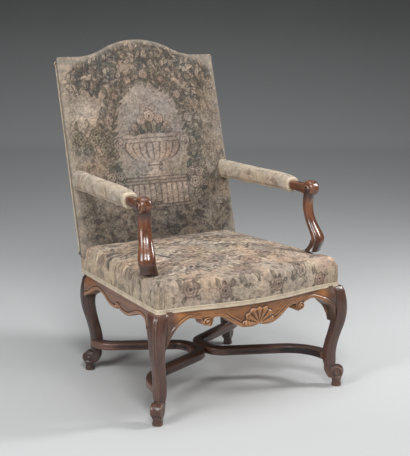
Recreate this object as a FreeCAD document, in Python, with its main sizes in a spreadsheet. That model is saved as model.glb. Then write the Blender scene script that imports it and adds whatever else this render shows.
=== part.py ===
import FreeCAD, Part
import math
import os

from FreeCAD import Placement, Rotation, Vector

# Upholstered armchair with a flat raked back, open arms and scrolled legs joined by a
# curved stretcher. Millimetres, +Z up, the front of the seat faces -Y. Heights are from
# the floor; depths are given from the seat's middle and moved back by origin_back, so
# that the origin lies on the floor under the middle of the whole chair.

doc = FreeCAD.newDocument("armchair")
dims = doc.addObject("Spreadsheet::Sheet", "dims")

SIZES = {
    "origin_back": 71.3,
    # legs
    "front_foot_x": 330,
    "front_foot_y": -296,
    "rear_foot_x": 276,
    "rear_foot_y": 263,
    "foot_scroll_radius": 21.5,
    "foot_scroll_height": 45.5,
    "foot_scroll_width": 38,
    "foot_pad_radius": 16.5,
    "foot_pad_height": 28,
    "block_bottom": 262,
    "leg_block": 42,
    "rear_block": 40,
    "rear_block_depth": 36,
    "rear_block_top": 400,
    "rear_block_inset": 3,
    # seat frame
    "rail_top": 365,
    "rail_thickness": 34,
    "rail_face_inset": 4,
    "rear_rail_bottom": 285,
    "rear_rail_thickness": 28,
    # seat upholstery
    "seat_front_x": 330,
    "seat_front_y": -301,
    "seat_rear_x": 285,
    "seat_rear_y": 292,
    "seat_bow": 35,
    "seat_corner": 12,
    "cover_bottom": 329,
    "seat_wall_top": 398,
    "seat_crown": 445,
    "seat_fullness": 0.3,
    "cloth": 2.5,
    "gimp_width": 14,
    "gimp_thickness": 2,
    # back
    "back_foot_y": 255,
    "back_foot_z": 405,
    "back_rake": 15,
    "back_half_width": 305,
    "back_shoulder": 658,
    "back_crest_rise": 57,
    "back_depth": 46,
    "back_crown": 30,
    "back_taper": 15,
    "back_bottom": -18,
    "back_fullness": 0.4,
    "back_corner": 9,
    "stile_width": 36,
    "stile_depth": 30,
    "stile_front": 12,
    "stile_inset": 5,
    "stile_bottom": -8,
    "crest_rail_bottom": 600,
    "lower_rail_bottom": 22,
    "lower_rail_height": 50,
    # arms
    "arm_front_x": 306,
    "arm_front_y": -176,
    "arm_rear_x": 281,
    "arm_rear_y": 326,
    "arm_bottom": 609,
    "arm_top": 643,
    "arm_width": 34,
    "volute_height": 628,
    "volute_radius": 25,
    "volute_width": 40,
    "pad_width": 48,
    "pad_bottom": 608,
    "pad_front": 88,
    "tongue_width": 32,
    "tongue_thickness": 20,
    "tongue_bottom": 300,
    "tongue_top": 436,
    "tongue_face_x": 314,
    "tongue_middle_y": -204,
    # stretcher
    "stretcher_bottom": 84,
    "stretcher_height": 26,
    "stretcher_width": 40,
    "belly_radius": 48,
    # fixings
    "peg_radius": 4,
    "peg_reach": 76,
    "dowel_radius": 4,
    "dowel_length": 56,
    "screw_radius": 3,
    "screw_length": 24,
    "webbing_width": 55,
    "webbing_thickness": 1.5,
    "hessian_thickness": 1.5,
}

for row, (alias, value) in enumerate(SIZES.items(), start=1):
    dims.set(f"A{row}", alias)
    dims.set(f"B{row}", str(value))
    dims.setAlias(f"B{row}", alias)
doc.recompute()


def size(alias):
    """A driving dimension, as the sheet holds it."""
    return float(dims.get(alias))


SEAT_FRAME = Placement(Vector(0, -size("origin_back"), 0), Rotation())
RAKE = Rotation(Vector(1, 0, 0), -size("back_rake"))
BACK_FRAME = Placement(Vector(0, size("back_foot_y"), size("back_foot_z")), RAKE)
nodes = []


def piece(label, source):
    """A finished sub-part, made in the seat's own coordinates and moved back to the origin."""
    source.Label = label
    source.Placement = SEAT_FRAME.multiply(source.Placement)
    nodes.append(source)
    return source


def mirrored(label, source):
    """The left-hand twin of a right-hand sub-part."""
    twin = left_twin(label, source)
    nodes.append(twin)
    return twin


def drawn(name, shape):
    """An outline, a section or a freely shaped solid, drawn in place."""
    base = doc.addObject("Part::Feature", name)
    base.Shape = shape
    return base


def primitive(kind, name, place, **sizes):
    """A box, cylinder or cone whose sizes are expressions on the sheet."""
    solid = doc.addObject(f"Part::{kind}", name)
    solid.Placement = place
    for key, expression in sizes.items():
        solid.setExpression(key, expression)
    return solid


def extrusion(name, outline, way, length):
    """A solid padded from an outline, its length an expression on the sheet."""
    solid = doc.addObject("Part::Extrusion", name)
    solid.Base = drawn(f"{name}_outline", outline)
    solid.DirMode = "Custom"
    solid.Dir = way
    solid.Solid = True
    solid.setExpression("LengthFwd", length)
    return solid


def loft(name, wires, ruled=False):
    """A solid drawn through sections."""
    solid = doc.addObject("Part::Loft", name)
    solid.Sections = [drawn(f"{name}_section", wire) for wire in wires]
    solid.Solid = True
    solid.Ruled = ruled
    return solid


def fusion(name, parts):
    solid = doc.addObject("Part::MultiFuse", name)
    solid.Shapes = parts
    solid.Refine = True
    return solid


def compound(name, parts):
    group = doc.addObject("Part::Compound", name)
    group.Links = parts
    return group


def difference(name, base, tool):
    solid = doc.addObject("Part::Cut", name)
    solid.Base = base
    solid.Tool = tool
    return solid


def common(name, base, tool):
    solid = doc.addObject("Part::Common", name)
    solid.Base = base
    solid.Tool = tool
    return solid


def left_twin(name, source):
    twin = doc.addObject("Part::Mirroring", name)
    twin.Source = source
    twin.Base = Vector(0, 0, 0)
    twin.Normal = Vector(1, 0, 0)
    return twin


def shape_of(part):
    """A copy of a part's shape, once the part is up to date."""
    doc.recompute()
    return part.Shape.copy()


def largest(shape):
    return max(shape.Solids, key=lambda solid: solid.Volume)


def both(shape):
    """The shape with its left-hand twin."""
    return shape.fuse(shape.mirror(Vector(), Vector(1, 0, 0)))


def line(start, end):
    return Part.LineSegment(start, end).toShape()


def arc(start, middle, end):
    return Part.Arc(start, middle, end).toShape()


def face_of(edges):
    return Part.Face(Part.Wire(Part.__sortEdges__(edges)))


def with_mirror(edges, normal):
    """Edges of one half, followed by those of the other."""
    return edges + [edge.mirror(Vector(), normal) for edge in edges]


def box(low, high):
    return Part.makeBox(high[0] - low[0], high[1] - low[1], high[2] - low[2], Vector(*low))


def eased_rectangle(low_x, high_x, low_y, high_y, z, ease):
    """A horizontal section with its four corners planed off, as a closed wire."""
    corners = [
        Vector(low_x, low_y + ease, z),
        Vector(low_x + ease, low_y, z),
        Vector(high_x - ease, low_y, z),
        Vector(high_x, low_y + ease, z),
        Vector(high_x, high_y - ease, z),
        Vector(high_x - ease, high_y, z),
        Vector(low_x + ease, high_y, z),
        Vector(low_x, high_y - ease, z),
    ]
    return Part.makePolygon(corners + corners[:1])


# Outlines with a swelling middle

def swelling_edge(half_width, rise, base, inset=0, ratio=0.58):
    """Points of an edge that runs level, dips into a hollow arc and rises to a crest.

    The crest arc takes ratio of the half width and the hollow arc the rest. Each pair is
    (across, height); inset moves the whole edge square to itself, so the arcs stay
    concentric with those of the outer edge.
    """
    turn = 2 * math.atan(rise / half_width)
    total = half_width / math.sin(turn)
    crest = total * ratio - inset
    hollow = total * (1 - ratio) + inset
    join = crest * math.sin(turn)
    crest_centre = base + rise - inset - crest
    hollow_centre = base - inset + hollow
    points = [(0, crest_centre + crest)]
    points.append((crest * math.sin(turn / 2), crest_centre + crest * math.cos(turn / 2)))
    points.append((join, crest_centre + crest * math.cos(turn)))
    points.append(
        (half_width - hollow * math.sin(turn / 2), hollow_centre - hollow * math.cos(turn / 2))
    )
    points.append((half_width, base - inset))
    return points


def seat_outline(z, inset=0, scale=1.0):
    """Plan of the seat: straight sides, square rear, bowed front, round corners."""
    front_x = size("seat_front_x")
    front_y = size("seat_front_y")
    rear_x = size("seat_rear_x")
    rear_y = size("seat_rear_y")
    splay = (front_x - rear_x) / (rear_y - front_y)
    radius = max(size("seat_corner") - inset, 2)
    bow = swelling_edge(size("seat_front_x") - 30, size("seat_bow"), -front_y, inset)
    low = front_y + inset
    high = rear_y - inset

    def side(y):
        return front_x - splay * (y - front_y) - inset

    def at(x, y):
        return Vector(x * scale, (y + 5) * scale - 5, z)

    half = []
    crest = [at(x, -y) for x, y in bow]
    half.append(arc(crest[0], crest[1], crest[2]))
    half.append(arc(crest[2], crest[3], crest[4]))
    corner_in = at(side(low) - radius, low)
    half.append(line(crest[4], corner_in))
    bend = radius * (1 - math.sqrt(0.5))
    corner_out = at(side(low + radius), low + radius)
    half.append(arc(corner_in, at(side(low) - bend, low + bend), corner_out))
    rear_in = at(side(high - radius), high - radius)
    half.append(line(corner_out, rear_in))
    rear_out = at(side(high) - radius, high)
    half.append(arc(rear_in, at(side(high) - bend, high - bend), rear_out))
    half.append(line(rear_out, at(0, high)))
    mirror = [edge.mirror(Vector(), Vector(1, 0, 0)) for edge in half]
    return Part.Wire(Part.__sortEdges__(half + mirror))


def back_outline(depth, inset=0, bottom=0, scale=1.0):
    """Front view of the back in its own plane: level shoulders and an arched crest."""
    half_width = size("back_half_width") - inset
    shoulder = size("back_shoulder")
    radius = max(size("back_corner") - inset, 2)
    crest = swelling_edge(232, size("back_crest_rise"), shoulder, inset, 0.58)
    middle = shoulder / 2

    def at(x, height):
        return Vector(x * scale, depth, (height - middle) * scale + middle)

    top = [at(x, height) for x, height in crest]
    half = [arc(top[0], top[1], top[2]), arc(top[2], top[3], top[4])]
    level = shoulder - inset
    bend = radius * (1 - math.sqrt(0.5))
    shoulder_in = at(half_width - radius, level)
    shoulder_out = at(half_width, level - radius)
    half.append(line(top[4], shoulder_in))
    half.append(arc(shoulder_in, at(half_width - bend, level - bend), shoulder_out))
    half.append(line(shoulder_out, at(half_width, bottom)))
    half.append(line(at(half_width, bottom), at(0, bottom)))
    mirror = [edge.mirror(Vector(), Vector(1, 0, 0)) for edge in half]
    return Part.Wire(Part.__sortEdges__(half + mirror))


CROWN_SCALES = (1.0, 0.98, 0.91, 0.65)


def crown_share(scale, fullness):
    """How much of the crown is reached where the outline has shrunk to this scale."""
    return (1 - scale**3) ** fullness


def padded_back(inset):
    """The back's padded volume: sides that draw in behind and a crowned front."""
    deep = size("back_depth") - max(inset, 0)
    low = size("back_bottom") + inset
    taper = size("back_taper") * deep / size("back_depth")
    body = Part.makeLoft(
        [back_outline(0, inset, low), back_outline(deep, inset + taper, low)], True, True
    )
    crown = size("back_crown") - inset
    wires = []
    for scale in CROWN_SCALES:
        rise = crown * crown_share(scale, size("back_fullness"))
        wires.append(back_outline(-rise, inset, low, scale))
    return body.fuse(Part.makeLoft(wires, True, True))


def padded_seat(inset):
    """The seat's padded volume: straight walls, round edges and a low crown."""
    bottom = size("cover_bottom") - inset
    base = size("seat_wall_top")
    body = Part.Face(seat_outline(bottom, inset)).extrude(Vector(0, 0, base - bottom))
    crown = size("seat_crown") - base - inset
    wires = []
    for scale in CROWN_SCALES:
        rise = crown * crown_share(scale, size("seat_fullness"))
        wires.append(seat_outline(base + rise, inset, scale))
    return body.fuse(Part.makeLoft(wires, True, True))


# Legs: carved in one piece from knee to scrolled foot, standing on a small pad

LEG_STATIONS = (
    # height, outer corner, inner corner along the outward diagonal, planed corner
    (327, 15, -48, 11),
    (300, 24, -38, 12),
    (275, 29, -30, 13),
    (250, 29.5, -22, 13),
    (202, 21, -25.5, 11),
    (178, 12.6, -31, 10),
    (140, 1.7, -41.4, 9),
    (106, -3.3, -46.7, 8),
    (80, -2.6, -45, 8),
    (60, -1, -40.5, 8),
)


def scroll_outline():
    """The foot's outward scroll seen from its side, with the leg's diagonal along X."""
    radius = size("foot_scroll_radius")
    height = size("foot_scroll_height")
    side = -size("foot_scroll_width") / 2

    def around(angle):
        turn = math.radians(angle)
        return Vector(radius * math.cos(turn), side, height + radius * math.sin(turn))

    heel = Vector(-40, side, 66)
    instep = Vector(-33, side, 43)
    edges = [
        arc(heel, instep, around(232)),
        arc(around(232), around(-30), around(95)),
        line(around(95), heel),
    ]
    return face_of(edges)


def scrolled_leg(end, outward_y):
    """A leg without its top: shank, foot scroll and pad, pointing along its corner's diagonal."""
    foot_x = size(f"{end}_foot_x")
    foot_y = size(f"{end}_foot_y")
    sections = []
    for z, outer, inner, ease in LEG_STATIONS:
        half = ((outer - inner) / math.sqrt(2) + ease) / 2
        shift = (outer + inner) / 2 / math.sqrt(2)
        x = foot_x + shift
        y = foot_y + shift * outward_y
        sections.append(eased_rectangle(x - half, x + half, y - half, y + half, z, ease))
    shank = loft(f"{end}_leg_shank", sections)
    scroll = extrusion(
        f"{end}_leg_scroll", scroll_outline(), Vector(0, 1, 0), "dims.foot_scroll_width"
    )
    pad = primitive(
        "Cone",
        f"{end}_leg_pad",
        Placement(),
        Radius1="dims.foot_pad_radius - 1",
        Radius2="dims.foot_pad_radius",
        Height="dims.foot_pad_height",
    )
    foot = fusion(f"{end}_leg_foot", [scroll, pad])
    foot.Placement = Placement(Vector(), Rotation(Vector(0, 0, 1), 45 * outward_y))
    foot.setExpression(".Placement.Base.x", f"dims.{end}_foot_x")
    foot.setExpression(".Placement.Base.y", f"dims.{end}_foot_y")
    return [shank, foot]


def block_outline(low_x, high_x, low_y, high_y, ease=6):
    """Plan of a leg's squared top, its corners eased where the cloth turns round them."""
    return Part.Face(eased_rectangle(low_x, high_x, low_y, high_y, size("block_bottom"), ease))


def front_leg():
    outer_x = size("seat_front_x") - size("rail_face_inset")
    outer_y = size("seat_front_y") + size("rail_face_inset")
    width = size("leg_block")
    plan = block_outline(outer_x - width, outer_x, outer_y, outer_y + width)
    height = "dims.rail_top - dims.block_bottom"
    top = extrusion("front_leg_top", plan, Vector(0, 0, 1), height)
    return fusion("front_leg_whole", scrolled_leg("front", -1) + [top])


def stile(name, extra=0):
    """The raked upright of the back, widened outwards by extra."""
    inner = size("back_half_width") - size("back_taper") - size("stile_inset") - size("stile_width")
    corner = Vector(inner, size("stile_front"), size("stile_bottom"))
    return primitive(
        "Box",
        name,
        BACK_FRAME.multiply(Placement(corner, Rotation())),
        Length=f"dims.stile_width + {extra}",
        Width="dims.stile_depth",
        Height="dims.crest_rail_bottom - dims.stile_bottom",
    )


def rear_leg():
    outer_x = size("seat_rear_x") - size("rear_block_inset")
    outer_y = size("seat_rear_y") - size("rail_face_inset")
    inner_x = outer_x - size("rear_block")
    plan = block_outline(inner_x, outer_x, outer_y - size("rear_block_depth"), outer_y)
    height = "dims.rear_block_top - dims.block_bottom"
    top = extrusion("rear_leg_top", plan, Vector(0, 0, 1), height)
    return fusion("rear_leg_whole", scrolled_leg("rear", 1) + [top, stile("stile_right")])


PEG_SEATS = (
    # start of each right-hand peg, and the way it is driven
    (Vector(304, -340, 284), Vector(0, 1, 0)),
    (Vector(370, -276, 292), Vector(-1, 0, 0)),
    (Vector(320, 266, 300), Vector(-1, 0, 0)),
)


def peg_seats():
    """The right-hand peg holes through the leg tops and the rails' tenons."""
    seats = []
    for start, way in PEG_SEATS:
        place = Placement(start, Rotation(Vector(0, 0, 1), way))
        seats.append(
            primitive("Cylinder", "peg_seat", place, Radius="dims.peg_radius", Height="dims.peg_reach")
        )
    return compound("peg_seats", seats)


front_leg_whole = front_leg()
rear_leg_whole = rear_leg()
seats = peg_seats()
leg_pair = fusion("leg_pair", [front_leg_whole, rear_leg_whole])
pegs = common("pegs_right", leg_pair, seats)
front_leg_right = piece("front_leg_right", difference("front_leg", front_leg_whole, seats))
front_leg_left = mirrored("front_leg_left", front_leg_right)
rear_leg_right = piece("rear_leg_right", difference("rear_leg", rear_leg_whole, seats))
rear_leg_left = mirrored("rear_leg_left", rear_leg_right)
piece("frame_pegs", compound("pegs", [pegs, left_twin("pegs_left", pegs)]))

# Seat rails: a bowed front rail and two side rails with shaped aprons, a plain rear rail


def spline(points):
    curve = Part.BSplineCurve()
    curve.interpolate(points)
    return curve.toShape()


FRONT_APRON = (
    # half of the lower edge, from the middle to the leg: across, height
    ((0, 264), (14, 259.5), (35, 258), (60, 262), (95, 281), (112, 293), (130, 301), (150, 301)),
    ((150, 301), (154, 284), (168, 278), (181, 284), (186, 298)),
    ((186, 298), (225, 305), (250, 297), (267, 289), (284, 275)),
)


def front_rail():
    """The board's bowed plan and its shaped front view, each padded and crossed."""
    ends = size("seat_front_x") - size("rail_face_inset") - size("leg_block")
    face = -size("seat_front_y") - size("rail_face_inset")
    top = size("rail_top")
    back = size("rail_thickness") - face
    bow = swelling_edge(size("seat_front_x") - 30, size("seat_bow"), face)
    half = [Vector(x, -y, 0) for x, y in bow]
    limit = half[4].x
    plan = with_mirror(
        [arc(half[0], half[1], half[2]), arc(half[2], half[3], half[4])], Vector(1, 0, 0)
    )
    plan.append(line(Vector(limit, back, 0), half[4]))
    plan.append(line(Vector(-limit, back, 0), Vector(-limit, half[4].y, 0)))
    plan.append(line(Vector(-limit, back, 0), Vector(limit, back, 0)))
    board = extrusion("front_rail_board", face_of(plan), Vector(0, 0, 1), "dims.rail_top")
    front = -face - size("seat_bow") - 5
    edge = [spline([Vector(x, front, z) for x, z in stretch]) for stretch in FRONT_APRON]
    edge.append(line(Vector(ends, front, FRONT_APRON[-1][-1][1]), Vector(ends, front, top)))
    edge = with_mirror(edge, Vector(1, 0, 0))
    edge.append(line(Vector(-ends, front, top), Vector(ends, front, top)))
    apron = extrusion(
        "front_rail_apron", face_of(edge), Vector(0, 1, 0), "dims.seat_bow + 4 * dims.rail_thickness"
    )
    return common("front_rail_body", board, apron)


def tongue(gap=0):
    """The support's tongue, let into the outer face of the side rail."""
    corner = Vector(
        size("tongue_face_x") - size("tongue_thickness") - gap,
        size("tongue_middle_y") - size("tongue_width") / 2 - gap,
        size("tongue_bottom"),
    )
    return primitive(
        "Box",
        "tongue",
        Placement(corner, Rotation()),
        Length=f"dims.tongue_thickness + {2 * gap}",
        Width=f"dims.tongue_width + {2 * gap}",
        Height="dims.tongue_top - dims.tongue_bottom",
    )


SCREW_HEIGHTS = (322, 350)
SCREW_HEAD_X = 287


def support_screws():
    """Two right-hand countersunk screws, driven from inside the rail into the tongue."""
    way = Rotation(Vector(0, 0, 1), Vector(1, 0, 0))
    screws = []
    for z in SCREW_HEIGHTS:
        place = Placement(Vector(SCREW_HEAD_X, size("tongue_middle_y"), z), way)
        stem = primitive(
            "Cylinder", "screw_stem", place, Radius="dims.screw_radius", Height="dims.screw_length"
        )
        head = primitive(
            "Cone",
            "screw_head",
            place,
            Radius1="2 * dims.screw_radius",
            Radius2="dims.screw_radius",
            Height="dims.screw_radius",
        )
        screws.append(fusion("screw", [stem, head]))
    return compound("screws_right", screws)


def screw_mouths():
    """Where the screw heads sink into the rail's inner face."""
    way = Rotation(Vector(0, 0, 1), Vector(1, 0, 0))
    mouths = []
    for z in SCREW_HEIGHTS:
        place = Placement(Vector(SCREW_HEAD_X - 8, size("tongue_middle_y"), z), way)
        mouths.append(
            primitive("Cylinder", "screw_mouth", place, Radius="2 * dims.screw_radius", Height="8")
        )
    return mouths


SIDE_APRON = (
    # half of the lower edge, from the cleft in the middle to the leg: along, height
    ((0, 284), (8, 276), (25, 271.5), (50, 270), (85, 275), (115, 287), (140, 295), (168, 298)),
    ((168, 298), (200, 291), (228, 273), (252, 262)),
)


def side_rail():
    """The right-hand rail: its outer face follows the splayed side of the seat."""
    splay = (size("seat_front_x") - size("seat_rear_x")) / (
        size("seat_rear_y") - size("seat_front_y")
    )
    top = size("rail_top")
    half = 262
    end_y, end_z = SIDE_APRON[-1][-1]
    edge = [spline([Vector(0, along, z) for along, z in stretch]) for stretch in SIDE_APRON]
    edge.append(line(Vector(0, end_y, end_z), Vector(0, half, end_z)))
    edge.append(line(Vector(0, half, end_z), Vector(0, half, top)))
    edge = with_mirror(edge, Vector(0, 1, 0))
    edge.append(line(Vector(0, -half, top), Vector(0, half, top)))
    board = extrusion("side_rail_board", face_of(edge), Vector(-1, 0, 0), "dims.rail_thickness")
    middle_y = -8
    middle_x = size("seat_front_x") - splay * (middle_y - size("seat_front_y"))
    board.Placement = Placement(
        Vector(middle_x - size("rail_face_inset"), middle_y, 0),
        Rotation(Vector(0, 0, 1), math.degrees(math.atan(splay))),
    )
    taken = [leg_pair, tongue_right, screws_right] + screw_mouths()
    return difference("side_rail_body", board, fusion("side_rail_seats", taken))


tongue_right = tongue()
screws_right = support_screws()
piece("front_rail", front_rail())


def rear_rail():
    """A plain board between the rear leg blocks, padded from its plan."""
    body = doc.addObject("PartDesign::Body", "rear_rail")
    body.Label = "rear_rail"
    plan = body.newObject("Sketcher::SketchObject", "rear_rail_plan")
    plane = next(f for f in body.Origin.OriginFeatures if f.Role == "XY_Plane")
    plan.AttachmentSupport = (plane, [""])
    plan.MapMode = "FlatFace"
    half = size("seat_rear_x") - size("rear_block_inset") - size("rear_block")
    depth = size("rear_rail_thickness")
    corners = [(-half, 0), (half, 0), (half, depth), (-half, depth)]
    for index in range(4):
        start = corners[index]
        end = corners[(index + 1) % 4]
        plan.addGeometry(Part.LineSegment(Vector(*start, 0), Vector(*end, 0)))
    pad = body.newObject("PartDesign::Pad", "rear_rail_pad")
    pad.Profile = plan
    pad.setExpression("Length", "dims.rail_top - dims.rear_rail_bottom")
    body.setExpression(
        ".Placement.Base.y",
        "dims.seat_rear_y - dims.rail_face_inset - dims.rear_rail_thickness - 2 - dims.origin_back",
    )
    body.setExpression(".Placement.Base.z", "dims.rear_rail_bottom")
    nodes.append(body)
    return body


rear_rail()
side_rail_right = piece("side_rail_right", side_rail())
side_rail_left = mirrored("side_rail_left", side_rail_right)

# Stretcher: four arms of one pattern meet in pairs at the middle, pinned by dowels

def stretcher_arm(leg, end_x, end_y, start_y, turn, outward_y):
    """One arm: a tight arc at the belly, a straight run and an easy arc to the leg.

    The leg cuts it to length, and its long upper and lower edges are chamfered.
    """
    half = size("stretcher_width") / 2
    radius = size("belly_radius")
    angle = math.radians(turn)
    start_x = half
    left_x = start_x + radius * (1 - math.cos(angle))
    left_y = start_y + radius * math.sin(angle)
    slope = math.cos(angle) / math.sin(angle)
    easy = (end_y - left_y - slope * (end_x - left_x)) / (
        math.sin(angle) - slope * (1 - math.cos(angle))
    )

    def edge(offset):
        """The arm's edge at a distance from its centre line, outward or inward."""
        tight = radius - offset
        slack = easy + offset
        points = [Vector(start_x + offset, 0, 0), Vector(start_x + offset, start_y, 0)]
        for part in (0.5, 1.0):
            bend = angle * part
            points.append(
                Vector(
                    start_x + radius - tight * math.cos(bend),
                    start_y + tight * math.sin(bend),
                    0,
                )
            )
        for part in (1.0, 0.5, 0.0):
            bend = angle * part
            points.append(
                Vector(
                    end_x - easy + slack * math.cos(bend),
                    end_y - slack * math.sin(bend),
                    0,
                )
            )
        points.append(points[-1] + Vector(0, 30, 0))
        return points

    outer = edge(half)
    inner = edge(-half)
    edges = []
    for points in (outer, inner):
        edges.append(line(points[0], points[1]))
        edges.append(arc(points[1], points[2], points[3]))
        edges.append(line(points[3], points[4]))
        edges.append(arc(points[4], points[5], points[6]))
        edges.append(line(points[6], points[7]))
    edges.append(line(outer[0], inner[0]))
    edges.append(line(outer[-1], inner[-1]))
    plan = Part.Face(Part.Wire(Part.__sortEdges__(edges)))
    arm = plan.extrude(Vector(0, 0, size("stretcher_height")))
    long_edges = [
        e
        for e in arm.Edges
        if abs(e.BoundBox.ZLength) < 0.01 and e.BoundBox.XLength + e.BoundBox.YLength > 20
        and not (abs(e.BoundBox.YLength) < 0.01)
    ]
    arm = arm.makeChamfer(4, long_edges)
    if outward_y < 0:
        arm = arm.mirror(Vector(), Vector(0, 1, 0))
    arm.translate(Vector(0, 0, size("stretcher_bottom")))
    return largest(arm.cut(shape_of(leg)))


def dowels():
    """Two round dowels across the middle joint."""
    length = size("dowel_length")
    height = size("stretcher_bottom") + size("stretcher_height") / 2
    way = Rotation(Vector(0, 0, 1), Vector(1, 0, 0))
    pins = []
    for y in (-14, 14):
        place = Placement(Vector(-length / 2, y, height), way)
        pins.append(
            primitive(
                "Cylinder", "dowel", place, Radius="dims.dowel_radius", Height="dims.dowel_length"
            )
        )
    return compound("dowels", pins)


middle_dowels = dowels()
front_arm = drawn("front_arm", stretcher_arm(front_leg_whole, 308, 262, 4, 66, -1))
rear_arm = drawn("rear_arm", stretcher_arm(rear_leg_whole, 262, 232, 30, 62, 1))
stretcher_front = difference("stretcher_front", front_arm, middle_dowels)
stretcher_rear = difference("stretcher_rear", rear_arm, middle_dowels)
stretcher_front_right = piece("stretcher_front_right", stretcher_front)
mirrored("stretcher_front_left", stretcher_front_right)
stretcher_rear_right = piece("stretcher_rear_right", stretcher_rear)
mirrored("stretcher_rear_left", stretcher_rear_right)
piece("stretcher_dowels", compound("dowel_pair", [middle_dowels]))

# Back frame: an arched crest rail on the stiles and a low rail between them

def crest_rail():
    inset = size("back_taper") + size("stile_inset")
    outline = back_outline(size("stile_front"), inset, size("crest_rail_bottom"))
    rail = extrusion("crest_rail", Part.Face(outline), Vector(0, 1, 0), "dims.stile_depth")
    rail.Placement = BACK_FRAME
    return rail


def lower_rail():
    inner = size("back_half_width") - size("back_taper") - size("stile_inset") - size("stile_width")
    corner = Vector(-inner, size("stile_front"), size("lower_rail_bottom"))
    return primitive(
        "Box",
        "lower_rail",
        BACK_FRAME.multiply(Placement(corner, Rotation())),
        Length="2 * (dims.back_half_width - dims.back_taper - dims.stile_inset - dims.stile_width)",
        Width="dims.stile_depth",
        Height="dims.lower_rail_height",
    )


piece("back_crest_rail", crest_rail())
piece("back_lower_rail", lower_rail())

# Arms: a wooden arm ending in a volute, on an S-shaped support lapped over the side rail

ARM_ANGLE = math.degrees(
    math.atan(
        (size("arm_front_x") - size("arm_rear_x")) / (size("arm_rear_y") - size("arm_front_y"))
    )
)
ARM_FRAME = Placement(
    Vector(size("arm_front_x"), size("arm_front_y"), 0), Rotation(Vector(0, 0, 1), ARM_ANGLE)
)


def arm_body():
    """The arm along its own Y axis, with the volute's centre over the origin."""
    half = size("arm_width") / 2
    centre = size("volute_height")
    radius = size("volute_radius")
    bottom = size("arm_bottom")
    top = size("arm_top")
    length = size("arm_rear_y") - size("arm_front_y") + 10
    start = Vector(-half, 0, centre + radius)
    hollow = Vector(-half, 30, top - 1.5)
    shoulder = Vector(-half, 62, top)
    edges = [
        arc(start, hollow, shoulder),
        line(shoulder, Vector(-half, length, top)),
        line(Vector(-half, length, top), Vector(-half, length, bottom)),
        line(Vector(-half, length, bottom), Vector(-half, 0, bottom)),
        line(Vector(-half, 0, bottom), start),
    ]
    rail = extrusion("arm_rail", face_of(edges), Vector(1, 0, 0), "dims.arm_width")
    volute = primitive(
        "Cylinder",
        "arm_volute",
        Placement(
            Vector(-size("volute_width") / 2, 0, centre), Rotation(Vector(0, 0, 1), Vector(1, 0, 0))
        ),
        Radius="dims.volute_radius",
        Height="dims.volute_width",
    )
    body = fusion("arm_body", [rail, volute])
    body.Placement = ARM_FRAME
    return difference("arm_whole", body, stile("arm_seat", 30))


SUPPORT_STATIONS = (
    # height, across, along, side of the section, planed corner
    (430, 307, -204, 42, 8),
    (447, 311.5, -208, 43, 10),
    (468, 315, -211, 45, 12),
    (490, 312, -202, 42, 12),
    (525, 304, -183, 36, 10),
    (560, 300, -172, 33, 9),
    (588, 301, -170, 35, 9),
    (612, 304, -173, 40, 9),
    (630, 306, -176, 40, 9),
)


def support_shape(arm):
    """The upright with its toe and tongue, cut to sit under the arm and its volute."""
    wires = []
    for z, x, y, side, ease in SUPPORT_STATIONS:
        half = side / 2
        wires.append(eased_rectangle(x - half, x + half, y - half, y + half, z, ease))
    shaft = Part.makeLoft(wires, True, False)
    toe_edges = [
        line(Vector(293, -198, 430), Vector(293, -172, 430)),
        arc(Vector(293, -172, 430), Vector(293, -183, 436), Vector(293, -192, 450)),
        line(Vector(293, -192, 450), Vector(293, -198, 430)),
    ]
    toe = face_of(toe_edges).extrude(Vector(28, 0, 0))
    upright = shaft.fuse(toe).fuse(shape_of(tongue_right))
    return largest(upright.cut(shape_of(arm)).cut(shape_of(screws_right)))


arm_whole = arm_body()
arm_support_right = piece("arm_support_right", drawn("support", support_shape(arm_whole)))
mirrored("arm_support_left", arm_support_right)
arm_right = piece("arm_right", arm_whole)
mirrored("arm_left", arm_right)
screw_pairs = compound("screws", [screws_right, left_twin("screws_left", screws_right)])
piece("arm_support_screws", screw_pairs)

# Seat upholstery: webbing on the rails, hessian, stuffing, cover and braid

BEYOND = 400


def webbing_strip(corner, length, width, place=Placement()):
    """One strip of webbing; a length or a width that isn't the webbing's own is cut to fit."""
    return primitive(
        "Box",
        "webbing_strip",
        place.multiply(Placement(corner, Rotation())),
        Length=length,
        Width=width,
        Height="dims.webbing_thickness",
    )


def seat_webbing(piercing):
    """Strips nailed across the rails, the cross strips lying on the long ones."""
    base = size("rail_top")
    thick = size("webbing_thickness")
    half = size("webbing_width") / 2
    plan = Part.Face(seat_outline(base, 14))
    region = extrusion("webbing_region", plan, Vector(0, 0, 1), "2 * dims.webbing_thickness")
    whole = str(2 * BEYOND)
    strips = []
    for step in (-2, -1, 0, 1, 2):
        corner = Vector(step * 88 - half, -BEYOND, base)
        strips.append(webbing_strip(corner, "dims.webbing_width", whole))
    for step in (-2, -1, 0, 1, 2):
        corner = Vector(-BEYOND, step * 92 - 8 - half, base + thick)
        strips.append(webbing_strip(corner, whole, "dims.webbing_width"))
    nailed = []
    for strip in strips:
        nailed.append(difference("webbing_nailed", common("webbing_cut", strip, region), piercing))
    return compound("seat_webs", nailed)


def uprights_through_seat():
    """What rises through the seat: the tongues, the rear legs' blocks and the stiles."""
    plan = Part.Face(eased_rectangle(240, 284, 254, 291, size("block_bottom"), 6))
    blocks = plan.extrude(Vector(0, 0, 208))
    return both(shape_of(tongue(1)).fuse(blocks).fuse(shape_of(stile("stile_clear"))))


def back_volume(inset=0):
    shape = padded_back(inset)
    shape.Placement = BACK_FRAME
    return shape


uprights = uprights_through_seat()
piercing = drawn("uprights", uprights)
piece("seat_webbing", seat_webbing(piercing))

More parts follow.
